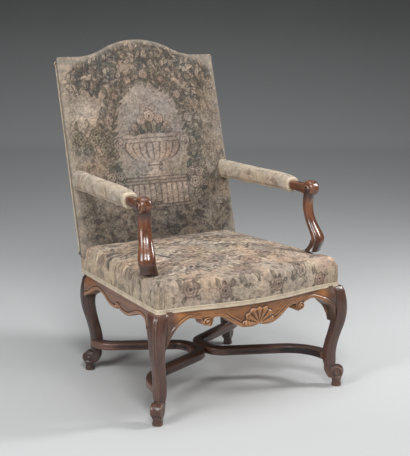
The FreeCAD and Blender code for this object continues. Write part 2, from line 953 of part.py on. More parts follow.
cloth = size("cloth")
hessian_base = size("rail_top") + 2 * size("webbing_thickness")
hessian_top = hessian_base + size("hessian_thickness")
hessian_plan = Part.Face(seat_outline(hessian_base, 10))
hessian = extrusion("hessian_sheet", hessian_plan, Vector(0, 0, 1), "dims.hessian_thickness")
piece("seat_hessian", difference("hessian_cut", hessian, piercing))

seat_outer = padded_seat(0)
seat_inner = padded_seat(cloth)
taken = uprights.fuse(back_volume(-1))
over_hessian = box((-BEYOND, -BEYOND, hessian_top), (BEYOND, BEYOND, 500))
seat_stuffing = seat_inner.common(over_hessian).cut(taken)
piece("seat_stuffing", drawn("seat_hair", largest(seat_stuffing)))
open_below = box((-BEYOND, -BEYOND, 300), (BEYOND, BEYOND, size("cover_bottom")))
seat_cover = seat_outer.cut(seat_inner).cut(open_below).cut(taken)
piece("seat_cover", drawn("seat_cloth", largest(seat_cover)))

gimp_low = size("cover_bottom")
gimp_outside = Part.Face(seat_outline(gimp_low, -size("gimp_thickness")))
gimp_inside = Part.Face(seat_outline(gimp_low))
gimp = extrusion("gimp", gimp_outside.cut(gimp_inside), Vector(0, 0, 1), "dims.gimp_width")
piece("seat_gimp", gimp)

# Back upholstery: webbing and hessian on the frame's front, stuffing, cover, rear cloth


def arm_pocket():
    """Where the arm passes through the back's cloth to its joint in the stile."""
    half = size("arm_width") / 2 + 1
    length = size("arm_rear_y") - size("arm_front_y") + 12
    slot = box((-half, 60, size("arm_bottom") - 1), (half, length, size("arm_top") + 1))
    slot.Placement = ARM_FRAME
    return both(slot)


def back_webbing():
    """Upright strips tacked to the frame's front, and level ones over them."""
    front = size("stile_front")
    thick = size("webbing_thickness")
    half = size("webbing_width") / 2
    upright = BACK_FRAME.multiply(Placement(Vector(), Rotation(Vector(1, 0, 0), 90)))
    strips = []
    for step in (-2, -1, 0, 1, 2):
        corner = Vector(step * 96 - half, 30, -front)
        strips.append(webbing_strip(corner, "dims.webbing_width", "610", upright))
    for step in range(6):
        corner = Vector(-282, 90 + step * 98, thick - front)
        strips.append(webbing_strip(corner, "564", "dims.webbing_width", upright))
    return compound("back_webs", strips)


def in_back(shape):
    shape.Placement = BACK_FRAME
    return shape


arm_slots = arm_pocket()
piece("back_webbing", back_webbing())
hessian_thick = size("hessian_thickness")
hessian_front = size("stile_front") - 2 * size("webbing_thickness") - hessian_thick
back_hessian = Part.Face(back_outline(hessian_front, 12, 24)).extrude(Vector(0, hessian_thick, 0))
piece("back_hessian", drawn("back_sacking", in_back(back_hessian).cut(arm_slots)))
back_outer = padded_back(0)
back_inner = padded_back(cloth)
before_hessian = box((-BEYOND, -100, -50), (BEYOND, hessian_front, 800))
back_stuffing = in_back(back_inner.common(before_hessian)).cut(arm_slots)
piece("back_stuffing", drawn("back_hair", largest(back_stuffing)))
outside_thick = 2
cloth_line = size("back_depth") - outside_thick
behind = box((-BEYOND, cloth_line, -50), (BEYOND, 100, 800))
back_cover = in_back(back_outer.cut(back_inner).cut(behind)).cut(arm_slots)
piece("back_cover", drawn("back_cloth", largest(back_cover)))
outside_face = Part.Face(back_outline(cloth_line, size("back_taper"), size("back_bottom")))
outside = extrusion("outside_cloth", outside_face, Vector(0, 1, 0), str(outside_thick))
outside.Placement = BACK_FRAME
piece("back_outside_cover", outside)

# Arm pads: a stuffed sleeve over the top and sides of each arm

def pad_section(y, top, inset=0):
    """Upright sides and a top rounded over in five flats."""
    half = size("pad_width") / 2 - inset
    low = size("pad_bottom") + inset
    high = top - inset
    outline = [(-half, low), (half, low), (half, high - 15), (half - 5, high - 6), (half - 13, high)]
    outline += [(-x, z) for x, z in reversed(outline[2:])]
    points = [Vector(x, y, z) for x, z in outline]
    return Part.makePolygon(points + points[:1])


PAD_STATIONS = (
    # along the arm, height of the top
    (88, 649),
    (106, 655),
    (150, 659),
    (500, 669),
)


def pad_volume(inset=0):
    wires = [pad_section(y, top, inset) for y, top in PAD_STATIONS]
    pad = Part.makeLoft(wires, True, True)
    if inset:
        pad = pad.cut(box((-100, 0, 600), (100, size("pad_front") + inset, 700)))
    pad.Placement = ARM_FRAME
    return pad


def arm_clear():
    """The wood that the pad is nailed round, with the room behind it."""
    half = size("arm_width") / 2
    wood = box((-half, 0, 560), (half, 520, size("arm_top")))
    wood.Placement = ARM_FRAME
    return wood


not_pad = arm_clear().fuse(back_volume())
stuffing = pad_volume(cloth).cut(not_pad)
arm_stuffing_right = piece("arm_pad_stuffing_right", drawn("pad_hair", largest(stuffing)))
mirrored("arm_pad_stuffing_left", arm_stuffing_right)
sleeve = pad_volume().cut(pad_volume(cloth)).cut(not_pad)
arm_cover_right = piece("arm_pad_cover_right", drawn("pad_cloth", largest(sleeve)))
mirrored("arm_pad_cover_left", arm_cover_right)

doc.recompute()

for node in nodes:
    state = [word for word in node.State if word in ("Invalid", "Error")]
    if state or node.Shape.isNull() or not node.Shape.isValid():
        raise RuntimeError(f"{node.Label} is not a sound shape")

os.makedirs("parts", exist_ok=True)
for node in nodes:
    node.Shape.exportStep(f"parts/{node.Label}.step")
    print(node.Label, len(node.Shape.Solids), round(node.Shape.Volume))
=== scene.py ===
import math

import bmesh
import bpy
import numpy as np
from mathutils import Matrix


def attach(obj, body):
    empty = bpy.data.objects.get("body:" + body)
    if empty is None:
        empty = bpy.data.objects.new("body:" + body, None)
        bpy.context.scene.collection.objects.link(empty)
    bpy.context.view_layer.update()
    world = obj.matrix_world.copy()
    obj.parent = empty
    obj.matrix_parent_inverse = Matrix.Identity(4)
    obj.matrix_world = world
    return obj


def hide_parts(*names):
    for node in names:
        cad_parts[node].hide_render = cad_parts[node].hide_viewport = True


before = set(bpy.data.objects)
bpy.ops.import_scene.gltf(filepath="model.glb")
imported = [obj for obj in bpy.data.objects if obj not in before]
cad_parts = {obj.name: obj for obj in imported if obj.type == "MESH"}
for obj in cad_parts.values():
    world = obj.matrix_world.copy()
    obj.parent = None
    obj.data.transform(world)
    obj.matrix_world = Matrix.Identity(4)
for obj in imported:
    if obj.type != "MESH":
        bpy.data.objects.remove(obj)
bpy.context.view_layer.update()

# Front legs. Each is carved from one block of walnut: a knee under the corner of the seat,
# a tapering shank with a sunk line down its corner, and a foot that curls into a scroll on
# a small pad. The knee is tenoned and pegged to the rails on both sides.

SEAT_BACK = 71.3  # millimetres; depths here are from the seat's middle


def outward(made):
    """Turn all faces of a closed piece outwards."""
    body = bmesh.new()
    body.from_mesh(made.data)
    bmesh.ops.recalc_face_normals(body, faces=body.faces)
    body.to_mesh(made.data)
    body.free()


def made_of(name, points, faces):
    """A piece from points in millimetres and the faces between them."""
    mesh = bpy.data.meshes.new(name)
    mesh.from_pydata(((points - (0, SEAT_BACK, 0)) / 1000).tolist(), [], faces)
    made = bpy.data.objects.new(name, mesh)
    bpy.context.collection.objects.link(made)
    outward(made)
    return made


def skin(name, rings, shut=True):
    """A surface through rings of points, closed by a face at each end."""
    rings = np.asarray(rings, float)
    count, around = rings.shape[:2]
    index = np.arange(count * around).reshape(count, around)
    ahead = np.roll(index, -1, axis=1)
    quads = np.stack([index[:-1], ahead[:-1], ahead[1:], index[1:]], axis=-1)
    faces = quads.reshape(-1, 4).tolist()
    if shut:
        faces += [index[0][::-1].tolist(), index[-1].tolist()]
    return made_of(name, rings.reshape(-1, 3), faces)


def ring_of(x, y, z):
    """One ring of points; a coordinate may be one number for all of them."""
    return np.stack(np.broadcast_arrays(x, y, z), axis=-1)


def whole_turn(count):
    """Angles once round."""
    return np.linspace(0, 2 * math.pi, count, endpoint=False)


def round_from(angle, middle):
    """How far round angles are from a middle one, either way."""
    return (angle - middle + math.pi) % (2 * math.pi) - math.pi


def flow(table, at):
    """A smooth curve through a table's rows; the first column is what at is given in."""
    table = np.asarray(table, float)
    table = table[np.argsort(table[:, 0])]
    x, rows = table[:, 0], table[:, 1:]
    step = np.diff(x)[:, None]
    chord = np.diff(rows, axis=0) / step
    slope = np.empty_like(rows)
    slope[0], slope[-1] = chord[0], chord[-1]
    slope[1:-1] = (chord[:-1] * step[1:] + chord[1:] * step[:-1]) / (step[1:] + step[:-1])
    at = np.clip(np.asarray(at, float), x[0], x[-1])
    k = np.clip(np.searchsorted(x, at) - 1, 0, len(x) - 2)
    t = ((at - x[k]) / (x[k + 1] - x[k]))[:, None]
    low, high = rows[k], rows[k + 1]
    rise_low, rise_high = slope[k] * step[k], slope[k + 1] * step[k]
    return (
        low * (1 + 2 * t) * (1 - t) ** 2 + rise_low * t * (1 - t) ** 2
        + high * t * t * (3 - 2 * t) + rise_high * t * t * (t - 1)
    )


def bump(distance, width):
    """1 at no distance, falling softly to nothing at about twice the width."""
    return np.exp(-((np.asarray(distance) / width) ** 2))


def ramp(value, low, high):
    """0 below low, 1 above high, eased between them."""
    t = np.clip((np.asarray(value, float) - low) / (high - low), 0, 1)
    return t * t * (3 - 2 * t)


def squared(angle, power):
    """Points of a rounded square of half side 1; a higher power is squarer."""
    c, s = np.cos(angle), np.sin(angle)
    size = (np.abs(c) ** power + np.abs(s) ** power) ** (-1 / power)
    return c * size, s * size


LEG_TABLE = (
    # height, outer corner and inner corner along the outward diagonal, squareness
    (329, 11, -50, 3.6),
    (322, 17, -47, 3.6),
    (300, 24.5, -38, 3.4),
    (275, 29, -30, 3.2),
    (250, 29.5, -22.5, 3.1),
    (202, 21, -25.5, 3.2),
    (178, 12.6, -31, 3.3),
    (140, 1.7, -41.4, 3.5),
    (106, -3.3, -46.7, 3.6),
    (80, -3.0, -45, 3.4),
    (64, -4.5, -40.5, 3.0),
    (52, -9, -36, 2.8),
)


def shank(foot_x, foot_y, outward_y):
    """A leg from the seat rail down to the ankle, with one corner turned outwards."""
    angle = whole_turn(88) + 0.01
    corner = math.atan2(outward_y, 1)
    heights = np.append(np.linspace(329, 320, 5), np.linspace(317, 52, 80))
    rings = []
    for z, outer, inner, power in np.column_stack([heights, flow(LEG_TABLE, heights)]):
        x, y = squared(angle, power)
        diagonal = math.sqrt(2) * 2 ** (-1 / power)
        half = (outer - inner) / 2 / diagonal
        away = np.abs(round_from(angle, corner))
        cut = 1 - 0.055 * bump(away, 0.06) * ramp(z, 60, 85) + 0.03 * bump(away - 0.17, 0.07)
        for side in (-1, 1):
            edge = round_from(angle, corner + side * 1.28)
            cut = cut - 0.035 * bump(edge, 0.05) * ramp(z, 90, 140)
        middle = (outer + inner) / 2 / math.sqrt(2)
        x, y = foot_x + middle + half * x * cut, foot_y + middle * outward_y + half * y * cut
        rings.append(ring_of(x, y, z))
    return skin("shank", rings)


def spiral_disc(radius, half_width, turns, turn, hollow, deep):
    """Rings of a scroll lying along Y about the origin, with a coil cut in its ends."""
    eye = 0.27
    angle = whole_turn(72)

    def end_ring(share):
        coil = np.zeros_like(angle)
        for lap in range(-1, int(turns) + 2):
            run = ((angle - turn) % (2 * math.pi)) / (2 * math.pi) + lap
            at = eye + (1 - eye) * np.clip(run / turns, 0, 1.2)
            live = (run > 0) & (run < turns * 1.05)
            coil = np.maximum(coil, np.where(live, bump(share - at, 0.075), 0))
        button = 1.6 * ramp(eye - share, -0.03, eye * 0.8)
        dish = 0.9 * (1 - share ** 2)
        edge = 1.8 * ramp(share, 0.9, 1.0)
        return share * radius, half_width - dish - deep * coil + button - edge

    ends = [end_ring(share) for share in np.append(np.linspace(0.02, 0.93, 22), (0.97, 0.995))]
    rings = [(rho, -reach) for rho, reach in ends]
    for across in np.linspace(-0.93, 0.93, 15):
        valley = hollow * radius * bump(across, 0.42)
        shoulder = 1.5 * np.abs(across) ** 6
        rings.append((radius + 0.6 - valley - shoulder, across * half_width))
    rings += ends[::-1]
    return np.array([ring_of(rho * np.cos(angle), along, rho * np.sin(angle)) for rho, along in rings])


def turned(rings, degrees, centre):
    """Rings turned about the upright axis and moved to a centre."""
    c, s = math.cos(math.radians(degrees)), math.sin(math.radians(degrees))
    spin = np.array([[c, s, 0], [-s, c, 0], [0, 0, 1]])
    return rings @ spin + np.asarray(centre, float)


PAD_TABLE = ((0, 14.4), (0.8, 15.4), (7, 15.6), (12, 14.6), (15.5, 13.6), (18, 14.2), (24, 16), (34, 16))


def scrolled_foot(foot_x, foot_y, outward_y):
    """The curl at the toe, the pad it stands on and the neck behind it."""
    angle = whole_turn(48)
    curl = spiral_disc(21.2, 18.0, turns=1.35, turn=math.radians(100), hollow=0.05, deep=2.2)
    pad = []
    for z, reach in PAD_TABLE:
        x, y = squared(angle, 2.6)
        pad.append(ring_of(x * reach, y * reach, z))
    neck = []
    for share in np.linspace(0, 1, 12):
        back = -25 + 8 * share - 6 * math.sin(share * math.pi)
        x, y = squared(angle, 3)
        neck.append(ring_of(x * (15 - 6 * share) + back, y * 16, 72 - 44 * share))
    forms = (("curl", curl + (0.5, 0, 45.5)), ("pad", np.array(pad)), ("neck", np.array(neck)))
    return [skin(name, turned(form, 45 * outward_y, (foot_x, foot_y, 0))) for name, form in forms]


def alone(made):
    """Select and activate only this piece."""
    bpy.ops.object.select_all(action="DESELECT")
    made.select_set(True)
    bpy.context.view_layer.objects.active = made


def joined(name, parts):
    """Several parts made one piece."""
    alone(parts[0])
    for part in parts:
        part.select_set(True)
    if len(parts) > 1:
        bpy.ops.object.join()
    made = bpy.context.view_layer.objects.active
    made.name = name
    made.data.name = name
    return made


def fused(made, grain):
    """Blend overlapping forms into one skin, as a carver's scraper does."""
    alone(made)
    remesh = made.modifiers.new("fuse", "REMESH")
    remesh.mode = "VOXEL"
    remesh.voxel_size = grain
    bpy.ops.object.modifier_apply(modifier="fuse")
    ease = made.modifiers.new("ease", "SMOOTH")
    ease.factor = 0.5
    ease.iterations = 2
    bpy.ops.object.modifier_apply(modifier="ease")
    return made


def points_of(made):
    """A piece's points, in metres."""
    place = np.empty(len(made.data.vertices) * 3)
    made.data.vertices.foreach_get("co", place)
    return place.reshape(-1, 3)


def note_relief(made, reach=3):
    """Store how far each point stands out from, or sinks below, its surroundings: ridges for rubbed wear,
    hollows for painted shade.
    """
    mesh = made.data
    count = len(mesh.vertices)
    place = points_of(made)
    ends = np.empty(len(mesh.edges) * 2, np.int64)
    mesh.edges.foreach_get("vertices", ends)
    first, second = ends.reshape(-1, 2).T
    meets = np.bincount(ends, minlength=count).clip(1)[:, None]
    mean = place.copy()
    for _ in range(reach):
        total = np.zeros_like(mean)
        np.add.at(total, first, mean[second])
        np.add.at(total, second, mean[first])
        mean = total / meets
    normal = np.empty(count * 3)
    mesh.vertex_normals.foreach_get("vector", normal)
    stands = ((place - mean) * normal.reshape(-1, 3)).sum(axis=1) * 1000
    layer = mesh.attributes.new("wear", "FLOAT", "POINT")
    layer.data.foreach_set("value", stands.astype(np.float32))


def dressed(made, finish, angle=40):
    """Give a piece its finish and soft shading, except at edges sharper than the angle."""
    alone(made)
    bpy.ops.object.shade_smooth_by_angle(angle=math.radians(angle))
    made.data.materials.append(finish)


class Link:
    """A socket in a material, on which sums can be written."""

    def __init__(self, finish, socket):
        self.finish = finish
        self.socket = socket

    def _sum(self, operation, *terms):
        return self.finish.node("ShaderNodeMath", {"operation": operation}, dict(enumerate(terms)))

    def __add__(self, other):
        return self._sum("ADD", self, other)

    def __sub__(self, other):
        return self._sum("SUBTRACT", self, other)

    def __rsub__(self, other):
        return self._sum("SUBTRACT", other, self)

    def __mul__(self, other):
        return self._sum("MULTIPLY", self, other)

    def __truediv__(self, other):
        return self._sum("DIVIDE", self, other)

    __radd__ = __add__
    __rmul__ = __mul__


class Finish:
    """A material built from nodes on the standard surface shader."""

    def __init__(self, name):
        self.made = bpy.data.materials.new(name)
        self.made.use_nodes = True
        self.nodes = self.made.node_tree.nodes
        self.links = self.made.node_tree.links
        self.shader = self.nodes["Principled BSDF"]

    def node(self, kind, settings=None, values=None, out=0):
        """A node with its settings and the values or links of its sockets."""
        made = self.nodes.new(kind)
        for key, value in (settings or {}).items():
            if key == "stops":
                stops = made.color_ramp.elements
                while len(stops) < len(value):
                    stops.new(0.5)
                for stop, (at, colour) in zip(stops, value):
                    stop.position = at
                    stop.color = (*colour, 1)
            else:
                setattr(made, key, value)
        for key, value in (values or {}).items():
            self.feed(made.inputs[key], value)
        return Link(self, made.outputs[out])

    def feed(self, socket, value):
        if isinstance(value, Link):
            self.links.new(value.socket, socket)
        elif socket.type == "RGBA" and len(value) == 3:
            socket.default_value = (*value, 1)
        else:
            socket.default_value = value

    def place(self, stretch=(1, 1, 1), turn=(0, 0, 0)):
        """The piece's own coordinates, stretched, in metres."""
        at = self.node("ShaderNodeTexCoord", out="Object")
        return self.node("ShaderNodeMapping", None, {"Vector": at, "Scale": stretch, "Rotation": turn})

    def noise(self, at, scale, detail=3.0, rough=0.55, warp=0.0):
        values = {"Vector": at, "Scale": scale, "Detail": detail, "Roughness": rough, "Distortion": warp}
        return self.node("ShaderNodeTexNoise", None, values)

    def within(self, value, low, high):
        """0 where a value is under low, 1 where it is over high."""
        ends = {"Value": value, "From Min": low, "From Max": high}
        return self.node("ShaderNodeMapRange", {"interpolation_type": "SMOOTHSTEP"}, ends)

    def mix(self, share, base, over, blend="MIX"):
        settings = {"data_type": "RGBA", "blend_type": blend}
        return self.node("ShaderNodeMix", settings, {0: share, 6: base, 7: over}, out=2)

    def shade(self, **sockets):
        for name, value in sockets.items():
            self.feed(self.shader.inputs[name.replace("_", " ")], value)
        return self.made


def waxed_wood(name, deep, body, bright, along, worn, turn=(0, 0, 0), gloss=0.34, figure=0.7, dim=()):
    """Old waxed walnut: grain and pores along the piece, painted shade in the hollows and rubbed edges.

    Each dim is an axis, two places on it, in metres, between which the wood turns, and the
    colour it turns to.
    """
    wood = Finish(name)
    stretch = [9.0, 9.0, 9.0]
    stretch["xyz".index(along)] = 1.0
    at = wood.place(stretch, turn)
    flame = wood.noise(at, 5.0, 4.0, 0.6, 0.8)
    streak = wood.noise(at, 26.0, 3.0, 0.7, 0.3)
    fine = [60.0, 60.0, 60.0]
    fine["xyz".index(along)] = 5.0
    pores = wood.noise(wood.place(fine, turn), 14.0, 2.0, 0.6)
    cloud = wood.noise(wood.place(), 11.0, 3.0, 0.6)
    grain = wood.within(flame * 0.6 + streak * 0.4, 0.36, 0.64)
    colour = wood.node("ShaderNodeValToRGB", {"stops": [(0.0, deep), (0.5, body), (1.0, bright)]}, {0: grain})
    colour = wood.mix(figure, body, colour)
    patina = wood.within(cloud, 0.40, 0.68) * 0.5
    colour = wood.mix(patina, colour, tuple(0.62 * c for c in body))
    wear = wood.node("ShaderNodeAttribute", {"attribute_name": "wear"}, out="Fac")
    rubbed = wood.within(wear + cloud * 0.2 - 0.1, 0.06, 0.34)
    colour = wood.mix(rubbed * 0.6, colour, worn)
    # Painted shade: points that sink below their surroundings are darkened.
    hollow_shade = wood.within(wear * -1.0, 0.03, 0.26)
    colour = wood.mix(hollow_shade * 0.8, colour, tuple(0.3 * c for c in deep))
    for axis, light, dark, shaded in dim:
        along_it = wood.node("ShaderNodeSeparateXYZ", None, {0: wood.place()}, out="XYZ".index(axis))
        far = wood.node("ShaderNodeMath", {"operation": "ABSOLUTE"}, {0: along_it})
        ends = {"Value": far + cloud * 0.012 - 0.006, "From Min": light, "From Max": dark}
        share = wood.node("ShaderNodeMapRange", {"interpolation_type": "SMOOTHSTEP"}, ends)
        colour = wood.mix(share * 0.9, colour, shaded)
    dark_pores = wood.within(pores, 0.58, 0.72) * 0.35
    colour = wood.mix(dark_pores, colour, tuple(0.5 * c for c in deep))
    roughness = cloud * 0.22 + (gloss - 0.1) + hollow_shade * 0.3
    height = pores * -0.25 + streak * 0.2
    normal = wood.node("ShaderNodeBump", None, {"Height": height, "Distance": 0.0005, "Strength": 0.35})
    return wood.shade(
        Base_Color=colour, Roughness=roughness, Normal=normal, Coat_Weight=0.25, Coat_Roughness=0.18
    )


def mirrored(made, name):
    """The other side's piece, with its own mesh."""
    mesh = made.data.copy()
    place = points_of(made)
    place[:, 0] *= -1
    mesh.vertices.foreach_set("co", place.ravel())
    mesh.flip_normals()
    mesh.name = name
    twin = bpy.data.objects.new(name, mesh)
    bpy.context.collection.objects.link(twin)
    return twin


leg_wood = waxed_wood(
    "leg_wood", (0.031, 0.014, 0.010), (0.082, 0.038, 0.027), (0.130, 0.065, 0.044), "z",
    (0.18, 0.10, 0.07), figure=0.55
)
GRAIN, FINE_GRAIN = 0.0014, 0.0012  # metres; the finest cut that a carved piece keeps
FRONT_LEG = (330, -296, -1)  # where it stands, and which way its toe points
parts = [shank(*FRONT_LEG)] + scrolled_foot(*FRONT_LEG)
leg_right = fused(joined("front_leg_right_wood", parts), GRAIN)
note_relief(leg_right)
dressed(leg_right, leg_wood)
leg_left = mirrored(leg_right, "front_leg_left_wood")


def place_on_chair(made, wears, *nodes):
    """Ride on the chair's one body and stand for the named nodes, which are hidden."""
    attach(made, "root")
    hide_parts(*nodes)


def top_block(name, low, high, bottom, top, ease=6):
    """The squared head of a leg, hidden under the seat's cloth."""
    bpy.ops.object.select_all(action="DESELECT")
    size = [(b - a) / 1000 for a, b in zip(low, high)] + [(top - bottom) / 1000]
    middle = [(a + b) / 2000 for a, b in zip(low, high)] + [(top + bottom) / 2000]
    middle[1] -= SEAT_BACK / 1000
    bpy.ops.mesh.primitive_cube_add(size=1, location=middle)
    made = bpy.context.object
    made.name = name
    made.scale = size
    bpy.ops.object.transform_apply(location=True, rotation=True, scale=True)
    bevel = made.modifiers.new("ease", "BEVEL")
    bevel.width = ease / 1000
    bevel.segments = 3
    bpy.ops.object.modifier_apply(modifier="ease")
    made.data.materials.append(leg_wood)
    return made


head = top_block("head", (284, -297), (326, -255), 300, 364)
leg_right = joined("front_leg_right_wood", [leg_right, head])
head = top_block("head", (-326, -297), (-284, -255), 300, 364)
leg_left = joined("front_leg_left_wood", [leg_left, head])
place_on_chair(leg_right, "leg_wood", "front_leg_right")
place_on_chair(leg_left, "leg_wood", "front_leg_left")

# Rear legs. Leg and raked back post are one length of walnut; the post leans back fifteen
# degrees and is hidden inside the upholstered back. The foot scrolls out behind.

RAKE = math.radians(15)
BACK_HINGE = (255, 405)  # depth and height from which the back leans
REAR_LEG = (276, 263, 1)


def in_back(points):
    """From the back's own plane (across, backwards, up the slope) to the seat's depths."""
    points = np.asarray(points, float)
    across, deep, up = points[..., 0], points[..., 1], points[..., 2]
    y = BACK_HINGE[0] + deep * math.cos(RAKE) + up * math.sin(RAKE)
    z = BACK_HINGE[1] - deep * math.sin(RAKE) + up * math.cos(RAKE)
    return np.stack([across, y, z], axis=-1)


parts = [shank(*REAR_LEG)] + scrolled_foot(*REAR_LEG)
rear_right = fused(joined("rear_leg_right_wood", parts), GRAIN)
note_relief(rear_right)
# The rear legs' walnut is painted darker than the front legs', as painted shade at the back of the chair.
rear_leg_shaded_wood = waxed_wood(
    "rear_leg_shaded_wood", (0.022, 0.011, 0.009), (0.050, 0.027, 0.021), (0.082, 0.046, 0.034), "z",
    (0.12, 0.07, 0.05), figure=0.55
)
dressed(rear_right, rear_leg_shaded_wood)
rear_left = mirrored(rear_right, "rear_leg_left_wood")
for side, leg in ((1, rear_right), (-1, rear_left)):
    ends = sorted((side * 242, side * 282))
    head = top_block("head", (ends[0], 252), (ends[1], 288), 300, 399, 5)
    corners = np.array([(249, 12), (285, 12), (285, 42), (249, 42)]) * (side, 1)
    post = skin("post", [in_back(ring_of(corners[:, 0], corners[:, 1], up)) for up in (-8, 200, 400, 600)])
    post.data.materials.append(rear_leg_shaded_wood)
    name = "rear_leg_right_wood" if side > 0 else "rear_leg_left_wood"
    leg = joined(name, [leg, head, post])
    place_on_chair(leg, "leg_wood", "rear_leg_right" if side > 0 else "rear_leg_left")

# Front rail. A bowed walnut rail whose apron is cut to a wavy line, with a raised edge
# moulding, a carved shell in the middle and a small hanging curl on either side.

RAIL_TOP, RAIL_BACK = 364.5, -263.0
FRONT_HALF, BOW, FRONT_LINE = 300, 35, 301  # the seat's bowed front: half width, rise, depth


def swell(x, half, rise, base):
    """A level edge that dips and rises to a crest in the middle, as two arcs a side."""
    share = 0.58
    x = np.abs(np.asarray(x, float))
    bend = 2 * math.atan(rise / half)
    total = half / math.sin(bend)
    crest, hollow = total * share, total * (1 - share)
    join = crest * math.sin(bend)
    over = base + rise - crest + np.sqrt(np.maximum(crest ** 2 - x ** 2, 0))
    under = base + hollow - np.sqrt(np.maximum(hollow ** 2 - np.maximum(half - x, 0) ** 2, 0))
    return np.where(x <= join, over, np.where(x < half, under, base))


FRONT_EDGE = (
    ((0, 264), (14, 259.5), (35, 258), (60, 262), (95, 281), (112, 293), (130, 301), (150, 301)),
    ((150, 301), (154, 284), (168, 278), (181, 284), (186, 298)),
    ((186, 298), (225, 305), (250, 297), (267, 289), (284, 275), (293, 264), (300, 252), (306, 239),
     (311, 222), (314, 208)),
)


def wavy_edge(stretches, at):
    """Height of an apron's lower edge, from its stretches between sharp corners."""
    at = np.abs(np.asarray(at, float))
    height = np.zeros_like(at)
    for stretch in stretches:
        here = (at >= stretch[0][0]) & (at <= stretch[-1][0])
        height[here] = flow(stretch, at[here])[:, 0]
    return height


def curl(x, z, centre, radius, turn, way=1):
    """Relief of a small carved spiral, from 0 to about 1."""
    turns = 1.5
    dx, dz = (x - centre[0]) * way, z - centre[1]
    rho = np.hypot(dx, dz) / radius
    angle = (np.arctan2(dz, dx) - turn) % (2 * math.pi) / (2 * math.pi)
    cut = np.zeros_like(rho)
    for lap in range(3):
        run = angle + lap
        at = 0.25 + 0.75 * np.clip(run / turns, 0, 1.3)
        cut = np.maximum(cut, np.where(run < turns * 1.02, bump(rho - at, 0.11), 0))
    disc = 1 - ramp(rho, 0.88, 1.08)
    return disc * (1 - 0.85 * cut) + 0.35 * ramp(0.3 - rho, 0, 0.2)


def edge_distance(edge, at, z):
    """Distance of points above the apron's edge, square to the edge."""
    slope = np.minimum(np.gradient(edge, at), 3)
    return (z - edge[:, None]) / np.sqrt(1 + slope ** 2)[:, None]


def round_over(value, start, size):
    """The fall of a quarter circle, from 0 at the start to 1 one size further on."""
    return 1 - np.sqrt(1 - np.clip((value - start) / size, 0, 1) ** 2)


def moulding(reach):
    """Raised bead along the lower edge with a cut line inside it."""
    round_off = -2.6 * round_over(3.2 - reach, 0, 3.2)
    bead = 1.7 * ramp(11.5 - reach, 0, 3.0)
    line = -1.3 * bump(reach - 12.3, 1.5)
    return round_off + bead + line


near_leg = np.linspace(152, 313, 124)
at = np.concatenate([-near_leg[::-1], np.linspace(-150.5, 150.5, 241), near_leg])
lower = wavy_edge(FRONT_EDGE, at)
rise = np.linspace(0, 1, 74) ** 0.9
z = lower[:, None] + (RAIL_TOP - lower[:, None]) * rise
x = np.repeat(at[:, None], len(rise), axis=1)
faint = (1 - 0.9 * bump(np.abs(x) - 168, 34)) * ramp(318 - np.abs(x), 0, 30)
relief = moulding(edge_distance(lower, at, z)) * faint
relief += 20.5 * ramp(np.abs(x), 205, 298) * (1 - 0.75 * ramp(z, 300, 344))
relief -= 0.75 * np.clip(np.abs(x) - 303, 0, None)

hinge = 266.0
rho = np.hypot(x, z - hinge)
theta = np.arctan2(x, z - hinge)
span = 1.72
lobe = np.abs(theta) / span * 3.5
flutes = np.cos(lobe * 2 * math.pi)
shell_rim = 57 * (1 - 0.14 * (np.abs(theta) / span) ** 2) - 8 * bump(theta, 0.5) + 3.0 * flutes
inside = ramp(shell_rim - rho, -0.5, 2.5) * ramp(span - np.abs(theta), -0.02, 0.08)
lift = 2.2 + 4.2 * ramp(rho, 4, 42)
cut = (0.5 + 0.5 * flutes) ** 0.55
lobes = lift * (0.38 + 0.62 * cut) * (1 - 0.3 * ramp(rho, 44, 58))
outer_lobes = ramp(np.abs(theta), 0.75, 1.1) * ramp(rho, 20, 34)
lobes += 1.5 * bump(np.sin(rho / 3.4 + np.abs(theta) * 3), 0.5) * outer_lobes
relief = relief * (1 - inside) + inside * (lobes + 0.6)
relief += 3.4 * bump(np.hypot(np.abs(x) - 5.2, (z - 267) / 1.4), 5.0)
relief -= 2.4 * bump(np.abs(rho - shell_rim - 2.2), 1.8) * (np.abs(theta) < span)
for way in (-1, 1):
    here = np.where(np.sign(x) == way, 1, 0)
    curled = curl(x, z, (way * 50, 270.5), 10.0, math.radians(-60), way)
    relief = np.maximum(relief, 4.6 * curled * here)
    share = np.clip((np.abs(x) - 62) / 46, 0, 1)
    line = 281 + (np.abs(x) - 62) * 0.52 + 6 * share ** 2
    leaf = bump(z - line, 1.2 + 2.6 * np.sin(share * math.pi)) * (share > 0) * (share < 1)
    relief += 1.3 * leaf * here
    relief -= 9.0 * bump(np.hypot(x - way * 160, (z - 293) / 1.1), 6.5) * here
    relief = np.maximum(relief, 5.8 * curl(x, z, (way * 171, 289), 12.5, math.radians(150), way) * here - 0.2)

face = -swell(at, FRONT_HALF, BOW, FRONT_LINE - 4)
front = np.stack([x, face[:, None] - relief, z], axis=-1)
rings = []
for k, across in enumerate(at):
    close = [(across, face[k] + 1.5, RAIL_TOP + 0.4)]
    close += [(across, y, RAIL_TOP + 0.4) for y in np.linspace(face[k] + 6, RAIL_BACK - 1, 4)]
    close += [(across, RAIL_BACK, height) for height in np.linspace(RAIL_TOP - 1, lower[k] + 2.5, 8)]
    close += [(across, y, lower[k]) for y in np.linspace(RAIL_BACK - 1.5, face[k] + 5, 8)]
    rings.append(np.vstack([front[k], close]))
front_rail = skin("front_rail_wood", rings)
note_relief(front_rail, 4)
rail_wood = waxed_wood(
    "rail_wood", (0.095, 0.034, 0.014), (0.265, 0.108, 0.038), (0.385, 0.178, 0.068), "x", (0.42, 0.23, 0.11),
    dim=(("X", 0.252, 0.290, (0.068, 0.036, 0.026)),)
)
dressed(front_rail, rail_wood, 50)
place_on_chair(front_rail, "rail_wood", "front_rail")

# Side rails. Straight walnut rails that splay with the seat; the apron has a double wave
# with a cleft and a small curl in the middle, and the same raised edge as the front.

